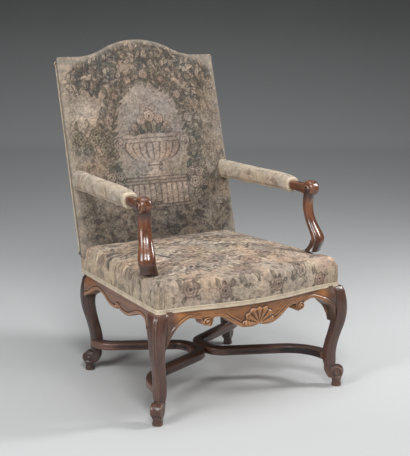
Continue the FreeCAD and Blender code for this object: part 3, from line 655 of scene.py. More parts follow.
SIDE_EDGE = (
    ((0, 284), (8, 276), (25, 271.5), (50, 270), (85, 275), (115, 287), (140, 295), (168, 298)),
    ((168, 298), (200, 291), (228, 273), (252, 262), (263, 252), (272, 238)),
)
CORNER, SEAT_REAR, SIDE_MIDDLE = 330, 292, -8  # half width in front, then depths
SPLAY = 45 / (SEAT_REAR + FRONT_LINE)


def half_width(y):
    """Half the seat's width at a depth; it narrows towards the back."""
    return CORNER - SPLAY * (y + FRONT_LINE)


at = np.linspace(-270, 256, 340)
lower = wavy_edge(SIDE_EDGE, at)
rise = np.linspace(0, 1, 60) ** 0.9
z = lower[:, None] + (RAIL_TOP - lower[:, None]) * rise
along = np.repeat(at[:, None], len(rise), axis=1)
relief = moulding(edge_distance(lower, at, z))
relief += (18 * ramp(-along, 185, 266) + 16 * ramp(along, 180, 252)) * (1 - 0.75 * ramp(z, 300, 344))
relief = np.maximum(relief, 4.6 * curl(along, z, (13, 283), 10.5, math.radians(200)) - 0.2)
relief -= 3.0 * bump(np.hypot(along + 1, z - 292), 4.5)
rings = []
for k in range(len(at)):
    close = [(-1.5, RAIL_TOP + 0.4)] + [(depth, RAIL_TOP + 0.4) for depth in np.linspace(-6, -31, 4)]
    close += [(-32, height) for height in np.linspace(RAIL_TOP - 1.5, lower[k] + 2.5, 8)]
    close += [(depth, lower[k]) for depth in np.linspace(-30, -5, 8)]
    deep, height = np.vstack([np.column_stack([relief[k], z[k]]), close]).T
    rings.append(ring_of(deep, at[k], height))
side_place = (half_width(SIDE_MIDDLE) - 4, SIDE_MIDDLE, 0)
rings = turned(np.array(rings), math.degrees(math.atan(SPLAY)), side_place)
side_right = skin("side_rail_right_wood", rings)
note_relief(side_right, 4)
side_wood = waxed_wood(
    "side_rail_wood", (0.065, 0.030, 0.018), (0.205, 0.092, 0.050), (0.300, 0.145, 0.080), "y",
    (0.36, 0.20, 0.12)
)
dressed(side_right, side_wood, 50)
side_left = mirrored(side_right, "side_rail_left_wood")
place_on_chair(side_right, "side_rail_wood", "side_rail_right")
place_on_chair(side_left, "side_rail_wood", "side_rail_left")

# Stretcher. Two bowed pieces of dark walnut, here as four moulded arms, cross at their
# bellies and run low to the legs; round dowels pin the crossing.

STRETCHER_HEIGHT = 97


def arm_course(end_x, end_y, start_y, degrees, outward_y):
    """Centre line of one arm: a tight bend at the belly, a straight, an easy bend."""
    radius, start_x = 62, 20
    turn = math.radians(degrees)
    tight = [(start_x + radius * (1 - math.cos(bend)), start_y + radius * math.sin(bend))
             for bend in np.linspace(0, turn, 16)]
    leave_x, leave_y = tight[-1]
    slope = math.cos(turn) / math.sin(turn)
    off_line = end_y - leave_y - slope * (end_x - leave_x)
    easy = off_line / (math.sin(turn) - slope * (1 - math.cos(turn)))
    gentle = [(end_x - easy * (1 - math.cos(bend)), end_y - easy * math.sin(bend))
              for bend in np.linspace(turn, 0, 16)]
    start = [(start_x, y) for y in np.linspace(0, start_y, 4)]
    straight = np.linspace(tight[-1], gentle[0], 14)[1:-1]
    return np.vstack([start, tight[1:], straight, gentle, (end_x, end_y + 12)]) * (1, outward_y)


def stretcher_arm(name, course):
    """A flat bar along its course, beaded and lined on top."""
    u, v = squared(whole_turn(64), 5)
    u, v = u * 20, v * 13
    v = v + 1.2 * bump(u, 9) * (v > 8) - 1.1 * bump(np.abs(u) - 13.2, 1.5) * (v > 8)
    u = u * (1 - 0.045 * bump(v, 4))
    rings = []
    for k, point in enumerate(course):
        ahead = course[min(k + 1, len(course) - 1)] - course[max(k - 1, 0)]
        ahead = ahead / np.hypot(*ahead)
        rings.append(ring_of(point[0] - u * ahead[1], point[1] + u * ahead[0], STRETCHER_HEIGHT + v))
    made = skin(name, rings)
    note_relief(made, 3)
    dressed(made, stretcher_wood)
    return made


stretcher_wood = waxed_wood(
    "stretcher_wood", (0.018, 0.008, 0.007), (0.055, 0.026, 0.020), (0.095, 0.046, 0.034), "x",
    (0.17, 0.085, 0.06)
)
front_arm = stretcher_arm("stretcher_front_right_wood", arm_course(308, 262, 4, 66, -1))
rear_arm = stretcher_arm("stretcher_rear_right_wood", arm_course(262, 232, 30, 62, 1))
place_on_chair(mirrored(front_arm, "stretcher_front_left_wood"), "stretcher_wood", "stretcher_front_left")
place_on_chair(mirrored(rear_arm, "stretcher_rear_left_wood"), "stretcher_wood", "stretcher_rear_left")
place_on_chair(front_arm, "stretcher_wood", "stretcher_front_right")
place_on_chair(rear_arm, "stretcher_wood", "stretcher_rear_right")

# Arm supports. Swept-back posts of polished walnut with a sunk line down the corner, lapped
# over the side rails and screwed from inside; the top runs up into the arm's scroll.

SUPPORT_TABLE = (
    # height, across, along, half breadth, half thickness, squareness
    (428, 302.0, -199.5, 28.0, 21.0, 2.9),
    (436, 304.0, -202.0, 26.5, 20.0, 2.7),
    (446, 308.0, -206.0, 26.0, 19.0, 2.5),
    (458, 312.0, -208.5, 26.5, 19.0, 2.4),
    (471, 313.5, -207.5, 26.5, 19.0, 2.4),
    (488, 311.0, -201.0, 25.0, 18.0, 2.4),
    (506, 307.0, -192.0, 22.5, 16.5, 2.4),
    (525, 303.5, -183.0, 20.8, 15.2, 2.5),
    (545, 301.0, -176.5, 20.2, 14.6, 2.5),
    (565, 300.0, -172.5, 20.4, 14.6, 2.5),
    (585, 300.5, -171.5, 21.2, 15.2, 2.5),
    (602, 302.5, -173.0, 22.5, 16.8, 2.5),
    (618, 305.0, -175.5, 23.5, 18.5, 2.5),
    (632, 306.0, -176.5, 23.0, 19.0, 2.5),
)
LEAN = math.radians(31)
SUPPORT_FOOT, SUPPORT_TOP = 428, 632
heights = np.linspace(SUPPORT_FOOT, SUPPORT_TOP, 100)
angle = whole_turn(88) + 0.01
rings = []
for z, x, y, broad, thin, power in np.column_stack([heights, flow(SUPPORT_TABLE, heights)]):
    u, v = squared(angle, power)
    sunk_line = bump(round_from(angle, -math.pi / 2), 0.16) * ramp(z, 450, 480) * ramp(604 - z, 0, 20)
    u, v = u * broad * (1 - 0.022 * sunk_line), v * thin * (1 - 0.022 * sunk_line)
    across = x + u * math.cos(LEAN) - v * math.sin(LEAN)
    along = y + u * math.sin(LEAN) + v * math.cos(LEAN)
    rings.append(ring_of(across, along, z))
post = skin("post", rings)
toe = []
for share in np.linspace(0, 1, 14):
    u, v = squared(angle, 2.4)
    reach = 15 * (1 - share) ** 2 + 3
    toe.append(ring_of(299 - 0.4 * reach + reach * u, -193 + 0.8 * reach * v, SUPPORT_FOOT + 34 * share))
support_right = fused(joined("arm_support_right_wood", [post, skin("toe", toe)]), FINE_GRAIN)
note_relief(support_right)
arm_wood = waxed_wood(
    "arm_wood", (0.030, 0.012, 0.009), (0.130, 0.050, 0.027), (0.240, 0.100, 0.050), "z",
    (0.34, 0.16, 0.085), gloss=0.2,
    dim=(("Z", 0.575, 0.605, (0.040, 0.022, 0.018)), ("Z", 0.475, 0.445, (0.045, 0.022, 0.015)))
)
dressed(support_right, arm_wood)
support_left = mirrored(support_right, "arm_support_left_wood")
place_on_chair(support_right, "arm_wood", "arm_support_right")
place_on_chair(support_left, "arm_wood", "arm_support_left")

# Arms. Each runs from the back post to a carved scroll over its support; the wood is
# rounded on top, dips behind the scroll and is polished dark by hands.

ARM_TURN = math.degrees(math.atan(25 / 502))
ARM_FRONT = (306, -176, 0)
ARM_UPPER = ((0, 652), (16, 649), (30, 644.5), (46, 641.5), (66, 642.5), (90, 643), (600, 643))
ARM_UNDER = ((0, 606), (16, 605), (34, 609), (52, 611), (600, 609))
SCROLL_HEIGHT = 628
SCROLL_FACE = (
    # distance from the eye, and how far the side stands out there
    (0, 12.5), (3.4, 12), (5.2, 12.6), (6.2, 16.5), (7.4, 19.6), (9, 20.8), (10.8, 20.2), (12, 18),
    (13.4, 16), (15.2, 16.4), (18, 17.6), (21, 17.2), (23.6, 15.4), (25.4, 12), (26.2, 7), (26.3, 0),
)
lengths = np.append(np.linspace(-2, 110, 50), np.linspace(130, 470, 10))
tops, lows = flow(ARM_UPPER, lengths)[:, 0], flow(ARM_UNDER, lengths)[:, 0]
u, v = squared(whole_turn(64), 3.4)
rings = []
for y, top, low in zip(lengths, tops, lows):
    wide = 16.2 + 2.2 * bump(y, 20)
    rings.append(ring_of(wide * u, y, (top + low) / 2 + (top - low) / 2 * v))
rail = skin("rail", turned(np.array(rings), ARM_TURN, ARM_FRONT))
spin = whole_turn(72)
sides = [(out, r + 0.01) for r, out in SCROLL_FACE] + [(-out, r + 0.01) for r, out in SCROLL_FACE[-2::-1]]
knob = [ring_of(out, r * np.cos(spin), SCROLL_HEIGHT + r * np.sin(spin)) for out, r in sides]
knob = skin("knob", turned(np.array(knob), ARM_TURN, ARM_FRONT))
arm_right = fused(joined("arm_right_wood", [rail, knob]), GRAIN)
note_relief(arm_right)
arm_along = waxed_wood(
    "arm_rail_wood", (0.036, 0.012, 0.008), (0.125, 0.050, 0.028), (0.230, 0.100, 0.052), "y",
    (0.38, 0.18, 0.095), gloss=0.24
)
dressed(arm_right, arm_along)
arm_left = mirrored(arm_right, "arm_left_wood")
place_on_chair(arm_right, "arm_wood", "arm_right")
place_on_chair(arm_left, "arm_wood", "arm_left")

# Tapestry for the seat, back and arms. A faded wool verdure: leafy boughs, a garland
# round a pale sky, a vase of flowers on a plinth, rosettes and scrolling leaves.


class Cartoon:
    """The weaver's full-size drawing, one dab of colour a millimetre."""

    def __init__(self, low_x, high_x, low_y, high_y, ground, seed):
        self.corner = (low_x, low_y)
        self.across, self.up = np.meshgrid(np.arange(low_x, high_x + 1.0), np.arange(low_y, high_y + 1.0))
        self.picture = np.empty(self.across.shape + (3,))
        self.picture[:] = ground
        self.chance = np.random.default_rng(seed)
        self.wash = 0.62

    def cloud(self, size_x, size_y):
        """Smooth random patches of about this size, from 0 to 1."""
        rows, columns = self.across.shape
        coarse = self.chance.random((int(rows / size_y) + 4, int(columns / size_x) + 4))
        v, u = np.arange(rows) / size_y, np.arange(columns) / size_x
        i, j = v.astype(int), u.astype(int)
        fv, fu = (v - i)[:, None], (u - j)[None, :]
        fv, fu = fv * fv * (3 - 2 * fv), fu * fu * (3 - 2 * fu)
        corners = [coarse[np.ix_(i + a, j + b)] for a in (0, 1) for b in (0, 1)]
        low = corners[0] * (1 - fu) + corners[1] * fu
        high = corners[2] * (1 - fu) + corners[3] * fu
        return low * (1 - fv) + high * fv

    def dab(self, share, colour, window=np.s_[:]):
        """Lay a share of a colour over the picture, or over a part of it."""
        share = np.clip(share, 0, 1)[..., None]
        self.picture[window] = self.picture[window] * (1 - share) + np.asarray(colour) * share

    def near(self, x, y, reach):
        """The part of the cloth round a point, and its coordinates from there."""
        row, column = int(round(y - self.corner[1])), int(round(x - self.corner[0]))
        reach = int(reach) + 2
        rows = slice(max(row - reach, 0), max(row + reach, 0))
        columns = slice(max(column - reach, 0), max(column + reach, 0))
        window = (rows, columns)
        return window, self.across[window] - x, self.up[window] - y

    def leaf(self, x, y, length, width, turn, colour, dark, pale=None):
        """A pointed leaf with a dark outline, a midrib and slanting veins."""
        window, dx, dy = self.near(x, y, length)
        if dx.size == 0:
            return
        c, s = math.cos(turn), math.sin(turn)
        along, beside = (dx * c + dy * s) / length, -dx * s + dy * c
        beside = beside - 0.12 * length * np.sin(along * math.pi)
        half = width * np.sin(np.clip(along, 0, 1) * math.pi) ** 0.75 * (1 - 0.3 * along) + 1e-6
        inside = (along > 0) & (along < 1)
        share = ramp(half - np.abs(beside), -0.6, 0.8) * inside * self.wash
        self.dab(share, colour, window)
        if pale is not None:
            self.dab(share * ramp(beside / half, -0.1, 0.5) * 0.8, pale, window)
        vein = np.sin((along * length - np.abs(beside) * 0.9) * 1.15)
        self.dab(share * ramp(vein, 0.35, 0.9) * 0.5, dark, window)
        edge = bump(np.abs(np.abs(beside) - half), 1.6) * inside
        rib = bump(beside, 0.8) * inside
        self.dab(edge * 0.85, dark, window)
        self.dab(rib * 0.8, dark, window)

    def rose(self, x, y, radius, colour, dark, petals=5):
        """A flower of rounded petals about a dark eye, in outline and wash."""
        window, dx, dy = self.near(x, y, radius * 1.3)
        if dx.size == 0:
            return
        rho, angle = np.hypot(dx, dy), np.arctan2(dy, dx) + x
        rim = radius * (0.82 + 0.18 * np.abs(np.cos(angle * petals / 2)))
        self.dab(ramp(rim - rho, -0.6, 1.2) * self.wash, colour, window)
        inner = rim * 0.55
        self.dab(bump(rho - rim, 1.6) * 0.85, dark, window)
        self.dab(bump(rho - inner, 1.4) * 0.7, dark, window)
        fold = bump(np.sin(angle * petals / 2 + 0.6) * rho * 0.6, 1.0) * (rho > inner) * (rho < rim)
        self.dab(fold * 0.6, dark, window)
        self.dab(ramp(radius * 0.22 - rho, -0.5, 1.0) * 0.9, dark, window)

    def stroke(self, points, width, colour, share=0.9):
        """A drawn line through points, thinner at its ends."""
        points = np.asarray(points, float)
        for first, last in zip(points[:-1], points[1:]):
            middle = (first + last) / 2
            run = last - first
            long = math.hypot(*run) + 1e-9
            window, dx, dy = self.near(*middle, long / 2 + width * 2)
            if dx.size == 0:
                continue
            along = np.clip((dx * run[0] + dy * run[1]) / long ** 2, -0.5, 0.5)
            away = np.hypot(dx - along * run[0], dy - along * run[1])
            self.dab(bump(away, width) * share, colour, window)

    def scroll(self, x, y, size, turn, way, width, colour, laps=1.4, tail=1.5):
        """A spiral with a sweeping tail."""
        t = np.linspace(0, 1, 34)
        angle = turn + way * t * laps * 2 * math.pi
        rho = size * (0.12 + 0.88 * t)
        points = np.column_stack([x + rho * np.cos(angle), y + rho * np.sin(angle)])
        heading = points[-1] - points[-2]
        heading /= np.hypot(*heading)
        normal = np.array([-heading[1], heading[0]]) * way
        for share in np.linspace(0.1, 1, 8):
            step = heading * size * tail * share - normal * size * 0.35 * share ** 2 * tail
            points = np.vstack([points, points[33] + step])
        self.stroke(points, width, colour)
        return points[-1]

    def vine(self, points, count, length, width, colours, dark, spread=0.9):
        """Leaves set alternately along a bough."""
        points = np.asarray(points, float)
        steps = np.linspace(0, len(points) - 1.001, count)
        for number, step in enumerate(steps):
            k = int(step)
            here = points[k] + (points[k + 1] - points[k]) * (step - k)
            run = points[k + 1] - points[k]
            side = 1 if number % 2 else -1
            turn = math.atan2(run[1], run[0]) + side * spread * self.chance.uniform(0.6, 1.3)
            colour = colours[self.chance.integers(len(colours))]
            long = length * self.chance.uniform(0.75, 1.25)
            self.leaf(*here, long, width * self.chance.uniform(0.8, 1.2), turn, colour, dark)

    def deepened(self, middle, strength, colour):
        """Darks and lights pushed apart about a middle tone, with this much of the colour."""
        light = self.picture.mean(axis=-1, keepdims=True)
        stretched = np.clip(middle + (light - middle) * strength, 0.04, 0.8)
        self.picture = stretched * (1 + (self.picture / light - 1) * colour)

    def faded(self, strength):
        """Uneven fading, yarn by yarn and row by row, as old wool shows."""
        yarn = self.chance.normal(0, 1, self.across.shape)
        rows = (self.cloud(7, 1.6) - 0.5) * 2.2
        threads = (self.cloud(1.6, 9) - 0.5) * 1.6
        patches = (self.cloud(40, 34) - 0.5) * 1.1 + (self.cloud(13, 11) - 0.5) * 0.9
        grains = (self.cloud(2.7, 2.7) - 0.5) * 2.2 + (self.cloud(5, 4) - 0.5) * 1.6
        change = 1 + strength * (0.35 * yarn + rows + 0.7 * threads + patches + grains)
        self.picture *= np.clip(change, 0.45, 1.7)[..., None]
        warm = (self.cloud(60, 50) - 0.5)[..., None] * np.array([0.03, 0.0, -0.03])
        self.picture = np.clip(self.picture + warm * self.picture / 0.2, 0.01, 0.9)

    def at(self, x, y):
        """Colours at points of the cloth, between the nearest four dabs."""
        u = np.clip(x - self.corner[0], 0, self.across.shape[1] - 1.01)
        v = np.clip(y - self.corner[1], 0, self.across.shape[0] - 1.01)
        i, j = v.astype(int), u.astype(int)
        fv, fu = (v - i)[..., None], (u - j)[..., None]
        low = self.picture[i, j] * (1 - fu) + self.picture[i, j + 1] * fu
        high = self.picture[i + 1, j] * (1 - fu) + self.picture[i + 1, j + 1] * fu
        return low * (1 - fv) + high * fv


GREEN, SAGE, BLUE = (0.142, 0.138, 0.102), (0.208, 0.192, 0.145), (0.105, 0.115, 0.102)
TAUPE, BROWN = (0.232, 0.190, 0.152), (0.110, 0.080, 0.062)
SAND, STRAW, ASH = (0.350, 0.288, 0.220), (0.300, 0.250, 0.185), (0.275, 0.240, 0.200)
INK = (0.080, 0.062, 0.052)


def woven(name, rib):
    """Wool tapestry: the picture carried by the cloth, fine ribs, and a dry nap."""
    cloth = Finish(name)
    picture = cloth.node("ShaderNodeAttribute", {"attribute_name": "picture"})
    at = cloth.place()
    fleck = cloth.noise(at, 900.0, 2.0, 0.7)
    patch = cloth.noise(at, 55.0, 4.0, 0.65)
    tone = cloth.within(fleck, 0.3, 0.7) * 0.30 + cloth.within(patch, 0.3, 0.7) * 0.22 + 0.74
    grey = cloth.node("ShaderNodeCombineColor", None, {0: tone, 1: tone, 2: tone})
    colour = cloth.mix(1.0, picture, grey, "MULTIPLY")
    ribs = cloth.node(
        "ShaderNodeTexWave", {"bands_direction": rib, "wave_profile": "SIN"},
        {"Vector": at, "Scale": 190.0, "Distortion": 1.4, "Detail": 1.0, "Detail Scale": 3.0},
    )
    height = ribs * 0.5 + fleck * 0.8 + patch * 1.2
    normal = cloth.node("ShaderNodeBump", None, {"Height": height, "Distance": 0.0006, "Strength": 0.55})
    return cloth.shade(
        Base_Color=colour, Roughness=0.92, Normal=normal, Sheen_Weight=0.04, Sheen_Roughness=0.5
    )


def quilt(name, grid, skirts):
    """A padded form: a grid for its face, then loops down its sides and across its back."""
    rows, columns = grid.shape[:2]
    index = np.arange(rows * columns).reshape(rows, columns)
    quads = np.stack([index[:-1, :-1], index[:-1, 1:], index[1:, 1:], index[1:, :-1]], axis=-1)
    faces = quads.reshape(-1, 4).tolist()
    loop = rim(index)
    points = [grid.reshape(-1, 3)]
    first = rows * columns
    for skirt in skirts:
        here = np.arange(first, first + len(skirt))
        ahead, above = np.roll(here, -1), np.roll(loop, -1)
        faces += np.stack([loop, above, ahead, here], axis=-1).tolist()
        points.append(skirt)
        loop, first = here, first + len(skirt)
    faces.append(loop.tolist())
    return made_of(name, np.vstack(points), faces)


def rim(grid):
    """The border of a grid, once round."""
    return np.concatenate([grid[0, :-1], grid[:-1, -1], grid[-1, :0:-1], grid[:0:-1, 0]])


def paint(made, colours):
    """Give each point of the cloth its colour."""
    layer = made.data.attributes.new("picture", "FLOAT_COLOR", "POINT")
    rgba = np.ones((len(made.data.vertices), 4), np.float32)
    rgba[:, :3] = colours
    layer.data.foreach_set("color", rgba.ravel())


def crowded(count):
    """Steps from -1 to 1 that crowd together near both ends."""
    t = np.linspace(-1, 1, count)
    return np.sign(t) * (1 - (1 - np.abs(t)) ** 1.22)


# Seat. Tapestry drawn over curled hair on webbing, tight over the rails: square sides, a
# low crown, pleats at the front corners and a slit below each arm support.

ground = Cartoon(-400, 400, -420, 380, STRAW, 11)
ground.wash = 0.5
ground.picture[:] = (0.345, 0.272, 0.212)
ground.dab(ground.cloud(90, 70) * 0.55, TAUPE)
ground.dab(ramp(ground.cloud(120, 60), 0.45, 0.8) * 0.6, SAND)
for number in range(170):
    x, y = ground.chance.uniform(-320, 320), ground.chance.uniform(40, 330)
    tone = (GREEN, BLUE, TAUPE, BLUE, SAND, STRAW)[ground.chance.integers(6)]
    ground.leaf(x, y, ground.chance.uniform(22, 46), ground.chance.uniform(5, 10),
                ground.chance.uniform(-0.6, 0.9), tone, BROWN)
for x, y, size in ((-70, -200, 42), (40, -222, 36), (-5, -145, 36), (128, -180, 34), (-165, -215, 34),
                   (-215, -130, 30), (215, -158, 34), (-110, -122, 27), (-268, -222, 28), (275, -232, 28),
                   (-225, -312, 24), (-120, -345, 21), (-30, -296, 28), (70, -352, 21), (165, -305, 27),
                   (250, -335, 20)):
    ground.rose(x, y, size, (0.280, 0.205, 0.165), (0.165, 0.100, 0.078), 6)
    for turn in (0.4, 2.2, 3.9, 5.3):
        ground.leaf(x + size * math.cos(turn), y + size * math.sin(turn), size * 0.9, size * 0.24,
                    turn, (0.290, 0.245, 0.185), (0.16, 0.12, 0.09))
for x, y, turn, way in ((-90, -60, 0.2, 1), (60, -40, 2.6, -1), (170, -70, 0.5, 1), (-210, -40, 2.2, -1)):
    tip = ground.scroll(x, y, 34, turn, way, 3.0, (0.15, 0.10, 0.08))
    ground.leaf(*tip, 62, 15, turn + 0.8, (0.50, 0.42, 0.32), (0.15, 0.10, 0.078))
for number in range(9):
    x, y = -190 + 46 * number, 12 + 34 * math.sin(0.75 * number)
    ground.leaf(x, y, 74, 15, 1.0 - 0.16 * number, (0.56, 0.48, 0.37), (0.13, 0.10, 0.08))
for side in (-1, 1):
    sweep = np.column_stack([np.linspace(20, 250, 16) * side, 30 + 55 * np.sin(np.linspace(0, 2.6, 16))])
    ground.vine(sweep, 22, 50, 10, [(0.47, 0.40, 0.31), (0.40, 0.31, 0.24), (0.30, 0.22, 0.17)], BROWN, 0.5)
for number in range(26):
    x, y = ground.chance.uniform(-320, 320), ground.chance.uniform(-390, -240)
    ground.leaf(x, y, ground.chance.uniform(14, 30), 5, ground.chance.uniform(0, 6.3),
                (0.300, 0.250, 0.190), (0.18, 0.135, 0.10))
FLANK_TONES = ((0.13, 0.150, 0.110), (0.30, 0.26, 0.17), (0.44, 0.37, 0.26), (0.16, 0.165, 0.125))
for side in (-1, 1):
    for number in range(70):
        x, y = side * ground.chance.uniform(318, 385), ground.chance.uniform(-300, 300)
        tone = FLANK_TONES[number % 4]
        turn = ground.chance.normal(0, 0.35) + (0 if side > 0 else math.pi)
        ground.leaf(x, y, ground.chance.uniform(18, 44), ground.chance.uniform(3, 6), turn, tone, BROWN)
for number in range(400):
    x, y = ground.chance.uniform(-330, 330), ground.chance.uniform(-260, 300)
    turn, long = ground.chance.normal(0.2, 0.9), ground.chance.uniform(9, 26)
    middle = (x + long * math.cos(turn), y + long * math.sin(turn))
    end = (x + long * 1.8 * math.cos(turn + 0.45), y + long * 1.8 * math.sin(turn + 0.45))
    ground.stroke([(x, y), middle, end], 1.8, (0.13, 0.10, 0.08) if number % 3 else (0.52, 0.44, 0.34), 0.7)
ground.dab(ramp(ground.up, 296, 312) * 0.9, (0.30, 0.245, 0.185))
ground.deepened(0.28, 1.7, 1.2)
ground.faded(0.27)
ground.picture *= np.array([0.98, 0.97, 0.97])

EDGE_HEIGHT, EDGE_DROP, EASE = 398, 67, 26.0
columns, rows = np.meshgrid(crowded(250), (crowded(230) + 1) / 2)
straight = SEAT_REAR - (SEAT_REAR + FRONT_LINE) * rows
width_at = half_width(straight) - 12 * round_over(-straight, FRONT_LINE - 12, 12)
x = columns * width_at
front_line = -(swell(x, FRONT_HALF, BOW, FRONT_LINE) - 1.5 * ramp(np.abs(x), FRONT_HALF, CORNER))
y = SEAT_REAR + (front_line - SEAT_REAR) * rows
side_gap, front_gap = (1 - np.abs(columns)) * width_at, y - front_line
inward = np.minimum(side_gap, np.minimum(SEAT_REAR - y, front_gap))
in_corner = (side_gap < EASE) & (front_gap < EASE)
inward = np.where(in_corner, EASE - np.hypot(EASE - side_gap, EASE - front_gap), inward)
inward = np.clip(inward, 0, None)
crown = 25 * np.sqrt(1 - (1 - np.clip(inward / 24, 0, 1)) ** 2) + 22 * ramp(inward, 4, 200)
sag = 3.0 * bump(np.hypot(x / 1.2, y + 40), 120)
z = EDGE_HEIGHT + crown - sag
for side in (-1, 1):
    pull = bump(x - side * 300, 26) * bump(y + 200, 30)
    z = z - 5 * pull
    tuck = bump((x - side * 318) + (y + 292) * 0.25 * side, 3.5) * ramp(-y, 262, 300)
    z = z - 2.5 * tuck
face = np.stack([x, y, z], axis=-1)
edge = rim(face)
centre = np.array([0, -10, 0])
run = np.concatenate([[0], np.cumsum(np.hypot(*np.diff(edge[:, :2], axis=0).T))])


def offset(loop, reach):
    """A loop moved level outwards by a distance, square to itself."""
    ahead = np.roll(loop, -1, axis=0) - np.roll(loop, 1, axis=0)
    normal = np.column_stack([ahead[:, 1], -ahead[:, 0]])
    normal /= np.hypot(*normal.T)[:, None] + 1e-12
    if ((loop[:, :2] - loop[:, :2].mean(axis=0)) * normal).sum() < 0:
        normal = -normal
    moved = loop.copy()
    moved[:, :2] += normal * np.asarray(reach).reshape(-1, 1)
    return moved


skirts = []
slack = 0.8 * np.sin(run / 17.0) + 0.6 * np.sin(run / 7.3 + 1)
for drop in np.linspace(0, 1, 26)[1:]:
    belly = 3.2 * math.sin(drop * math.pi) ** 0.8
    pleats = np.zeros(len(edge))
    for side in (-1, 1):
        outwards = edge[:, 0] * side
        for step in (-13, 0, 13):
            front = bump(edge[:, 0] - side * (316 + step * 0.7), 2.2) * (edge[:, 1] < -285)
            flank = bump(edge[:, 1] + 283 - step, 2.2) * (outwards > 300)
            pleats -= 2.2 * (front + 0.6 * flank) * ramp(drop, 0.02, 0.5)
        slit = bump(edge[:, 1] + 184, 1.6) * (outwards > 290)
        pleats -= 2.4 * slit * ramp(drop, 0.02, 0.3)
    loop = offset(edge, belly + slack * 0.5 * math.sin(drop * math.pi) + pleats)
    settled = min(1, drop * 3)
    loop[:, 2] = edge[:, 2] * (1 - settled) + EDGE_HEIGHT * settled - EDGE_DROP * drop
    skirts.append(loop)
tucked = offset(edge, -4.5)
UNDERSIDE = 369.8
for height in (331.5, 345, UNDERSIDE):
    loop = tucked.copy()
    loop[:, 2] = height
    skirts.append(loop)
for shrink in (0.8, 0.5, 0.2):
    loop = centre + (tucked - centre) * shrink
    loop[:, 2] = UNDERSIDE
    skirts.append(loop)
seat = quilt("seat_tapestry", face, skirts)
flat_x, flat_y = [x.ravel()], [y.ravel()]
for number in range(len(skirts)):
    opened = offset(edge, min(number + 1, 26) / 26 * EDGE_DROP)
    flat_x.append(opened[:, 0])
    flat_y.append(opened[:, 1])
colours = ground.at(np.concatenate(flat_x), np.concatenate(flat_y))
seat_x, seat_y, seat_z = points_of(seat).T * 1000
seat_y = seat_y + SEAT_BACK
sides = (ramp(EDGE_HEIGHT - seat_z, 0, 18) * (np.abs(seat_x) > 280))[:, None]
colours = colours * (1 - 0.35 * sides) + np.array([0.44, 0.36, 0.25]) * 0.35 * sides
# Painted shade darkens the folds of the front pleats and the slit below each arm support.
for side in (-1, 1):
    pleat = bump(seat_x - side * 318, 16) * (seat_y < -280)
    fan = 0.5 + 0.5 * np.sin((seat_x - side * 318) * 0.9)
    pleat_shade = pleat * fan * ramp(420 - seat_z, 0, 40) * ramp(seat_z, 345, 365)
    slit = bump(seat_y + 184, 1.6) * (seat_x * side > 290) * (seat_z < 430)
    colours = colours * ((1 - 0.5 * pleat_shade) * (1 - 0.5 * slit))[:, None]
paint(seat, colours)
seat_cloth = woven("seat_weave", "X")
dressed(seat, seat_cloth, 70)
place_on_chair(seat, "tapestry", "seat_cover", "seat_stuffing")

# Braid. A narrow cream woven braid glued and pinned over the cover's raw lower edge, all
# the way round; its edges are corded and its middle has a small slanting twill.


def cord_colour(name, pale, dark, pitch):
    """Woven braid: slanting threads, slightly soiled."""
    braid = Finish(name)
    at = braid.place()
    threads = braid.node(
        "ShaderNodeTexWave", {"bands_direction": "DIAGONAL", "wave_profile": "SIN"},
        {"Vector": at, "Scale": pitch, "Distortion": 0.8},
    )
    soil = braid.noise(at, 38.0, 4.0, 0.6)
    colour = braid.mix(braid.within(threads, 0.2, 0.8), dark, pale)
    colour = braid.mix(braid.within(soil, 0.42, 0.7) * 0.55, colour, tuple(0.7 * c for c in dark))
    height = threads * 1.0 + soil * 0.4
    normal = braid.node("ShaderNodeBump", None, {"Height": height, "Distance": 0.0008, "Strength": 0.6})
    return braid.shade(Base_Color=colour, Roughness=0.88, Normal=normal, Sheen_Weight=0.12)


braid_cloth = cord_colour("seat_braid", (0.62, 0.52, 0.39), (0.44, 0.35, 0.25), 150.0)
BRAID_SECTION = (
    # reach from the cover's edge, height
    (0.4, 329.3), (1.9, 328.9), (2.8, 330.4), (2.5, 332.4), (1.7, 333.8), (2.3, 336), (1.7, 338.6),
    (2.5, 340.4), (2.9, 342.2), (2.0, 343.9), (0.4, 343.5), (-1.0, 340), (-1.0, 333),
)
loops = []
for reach, height in BRAID_SECTION:
    loops.append(offset(ring_of(edge[:, 0], edge[:, 1], height), reach + 0.9))
loops = np.array(loops).transpose(1, 0, 2)
braid = skin("seat_braid", np.concatenate([loops, loops[:1]]), shut=False)
alone(braid)
bpy.ops.object.mode_set(mode="EDIT")
bpy.ops.mesh.select_all(action="SELECT")
bpy.ops.mesh.remove_doubles(threshold=0.00002)
bpy.ops.mesh.normals_make_consistent(inside=False)
bpy.ops.object.mode_set(mode="OBJECT")
dressed(braid, braid_cloth, 60)
place_on_chair(braid, "braid", "seat_gimp")

# Under the seat. Jute webbing is nailed across the rails, the cross bands woven through
# the long ones, and a coarse hessian lies over it to hold the hair.

jute = cord_colour("jute_webbing", (0.42, 0.32, 0.20), (0.30, 0.22, 0.135), 210.0)
sacking = cord_colour("hessian_sacking", (0.40, 0.30, 0.19), (0.27, 0.20, 0.12), 330.0)
WEB_HEIGHT, HESSIAN_HEIGHT = 366.7, 369.0
BAND_SECTION = ((-27, -0.6), (27, -0.6), (27.4, 0), (27, 0.6), (-27, 0.6), (-27.4, 0))
bands = []
for number in range(-2, 3):
    for lengthwise in (True, False):
        middle = number * 88 if lengthwise else number * 92 - 8
        reach = 285 if lengthwise else half_width(middle) - 16
        rings = []
        for along in np.linspace(-reach, reach, 70):
            weave = math.cos(along / 90 * math.pi + number * math.pi)
            lift = WEB_HEIGHT + 0.75 * (weave if lengthwise else -weave)
            if lengthwise:
                rings.append([(middle + a, along - 4, lift + b) for a, b in BAND_SECTION])
            else:
                rings.append([(along, middle + a, lift + b) for a, b in BAND_SECTION])
        bands.append(skin("band", rings))
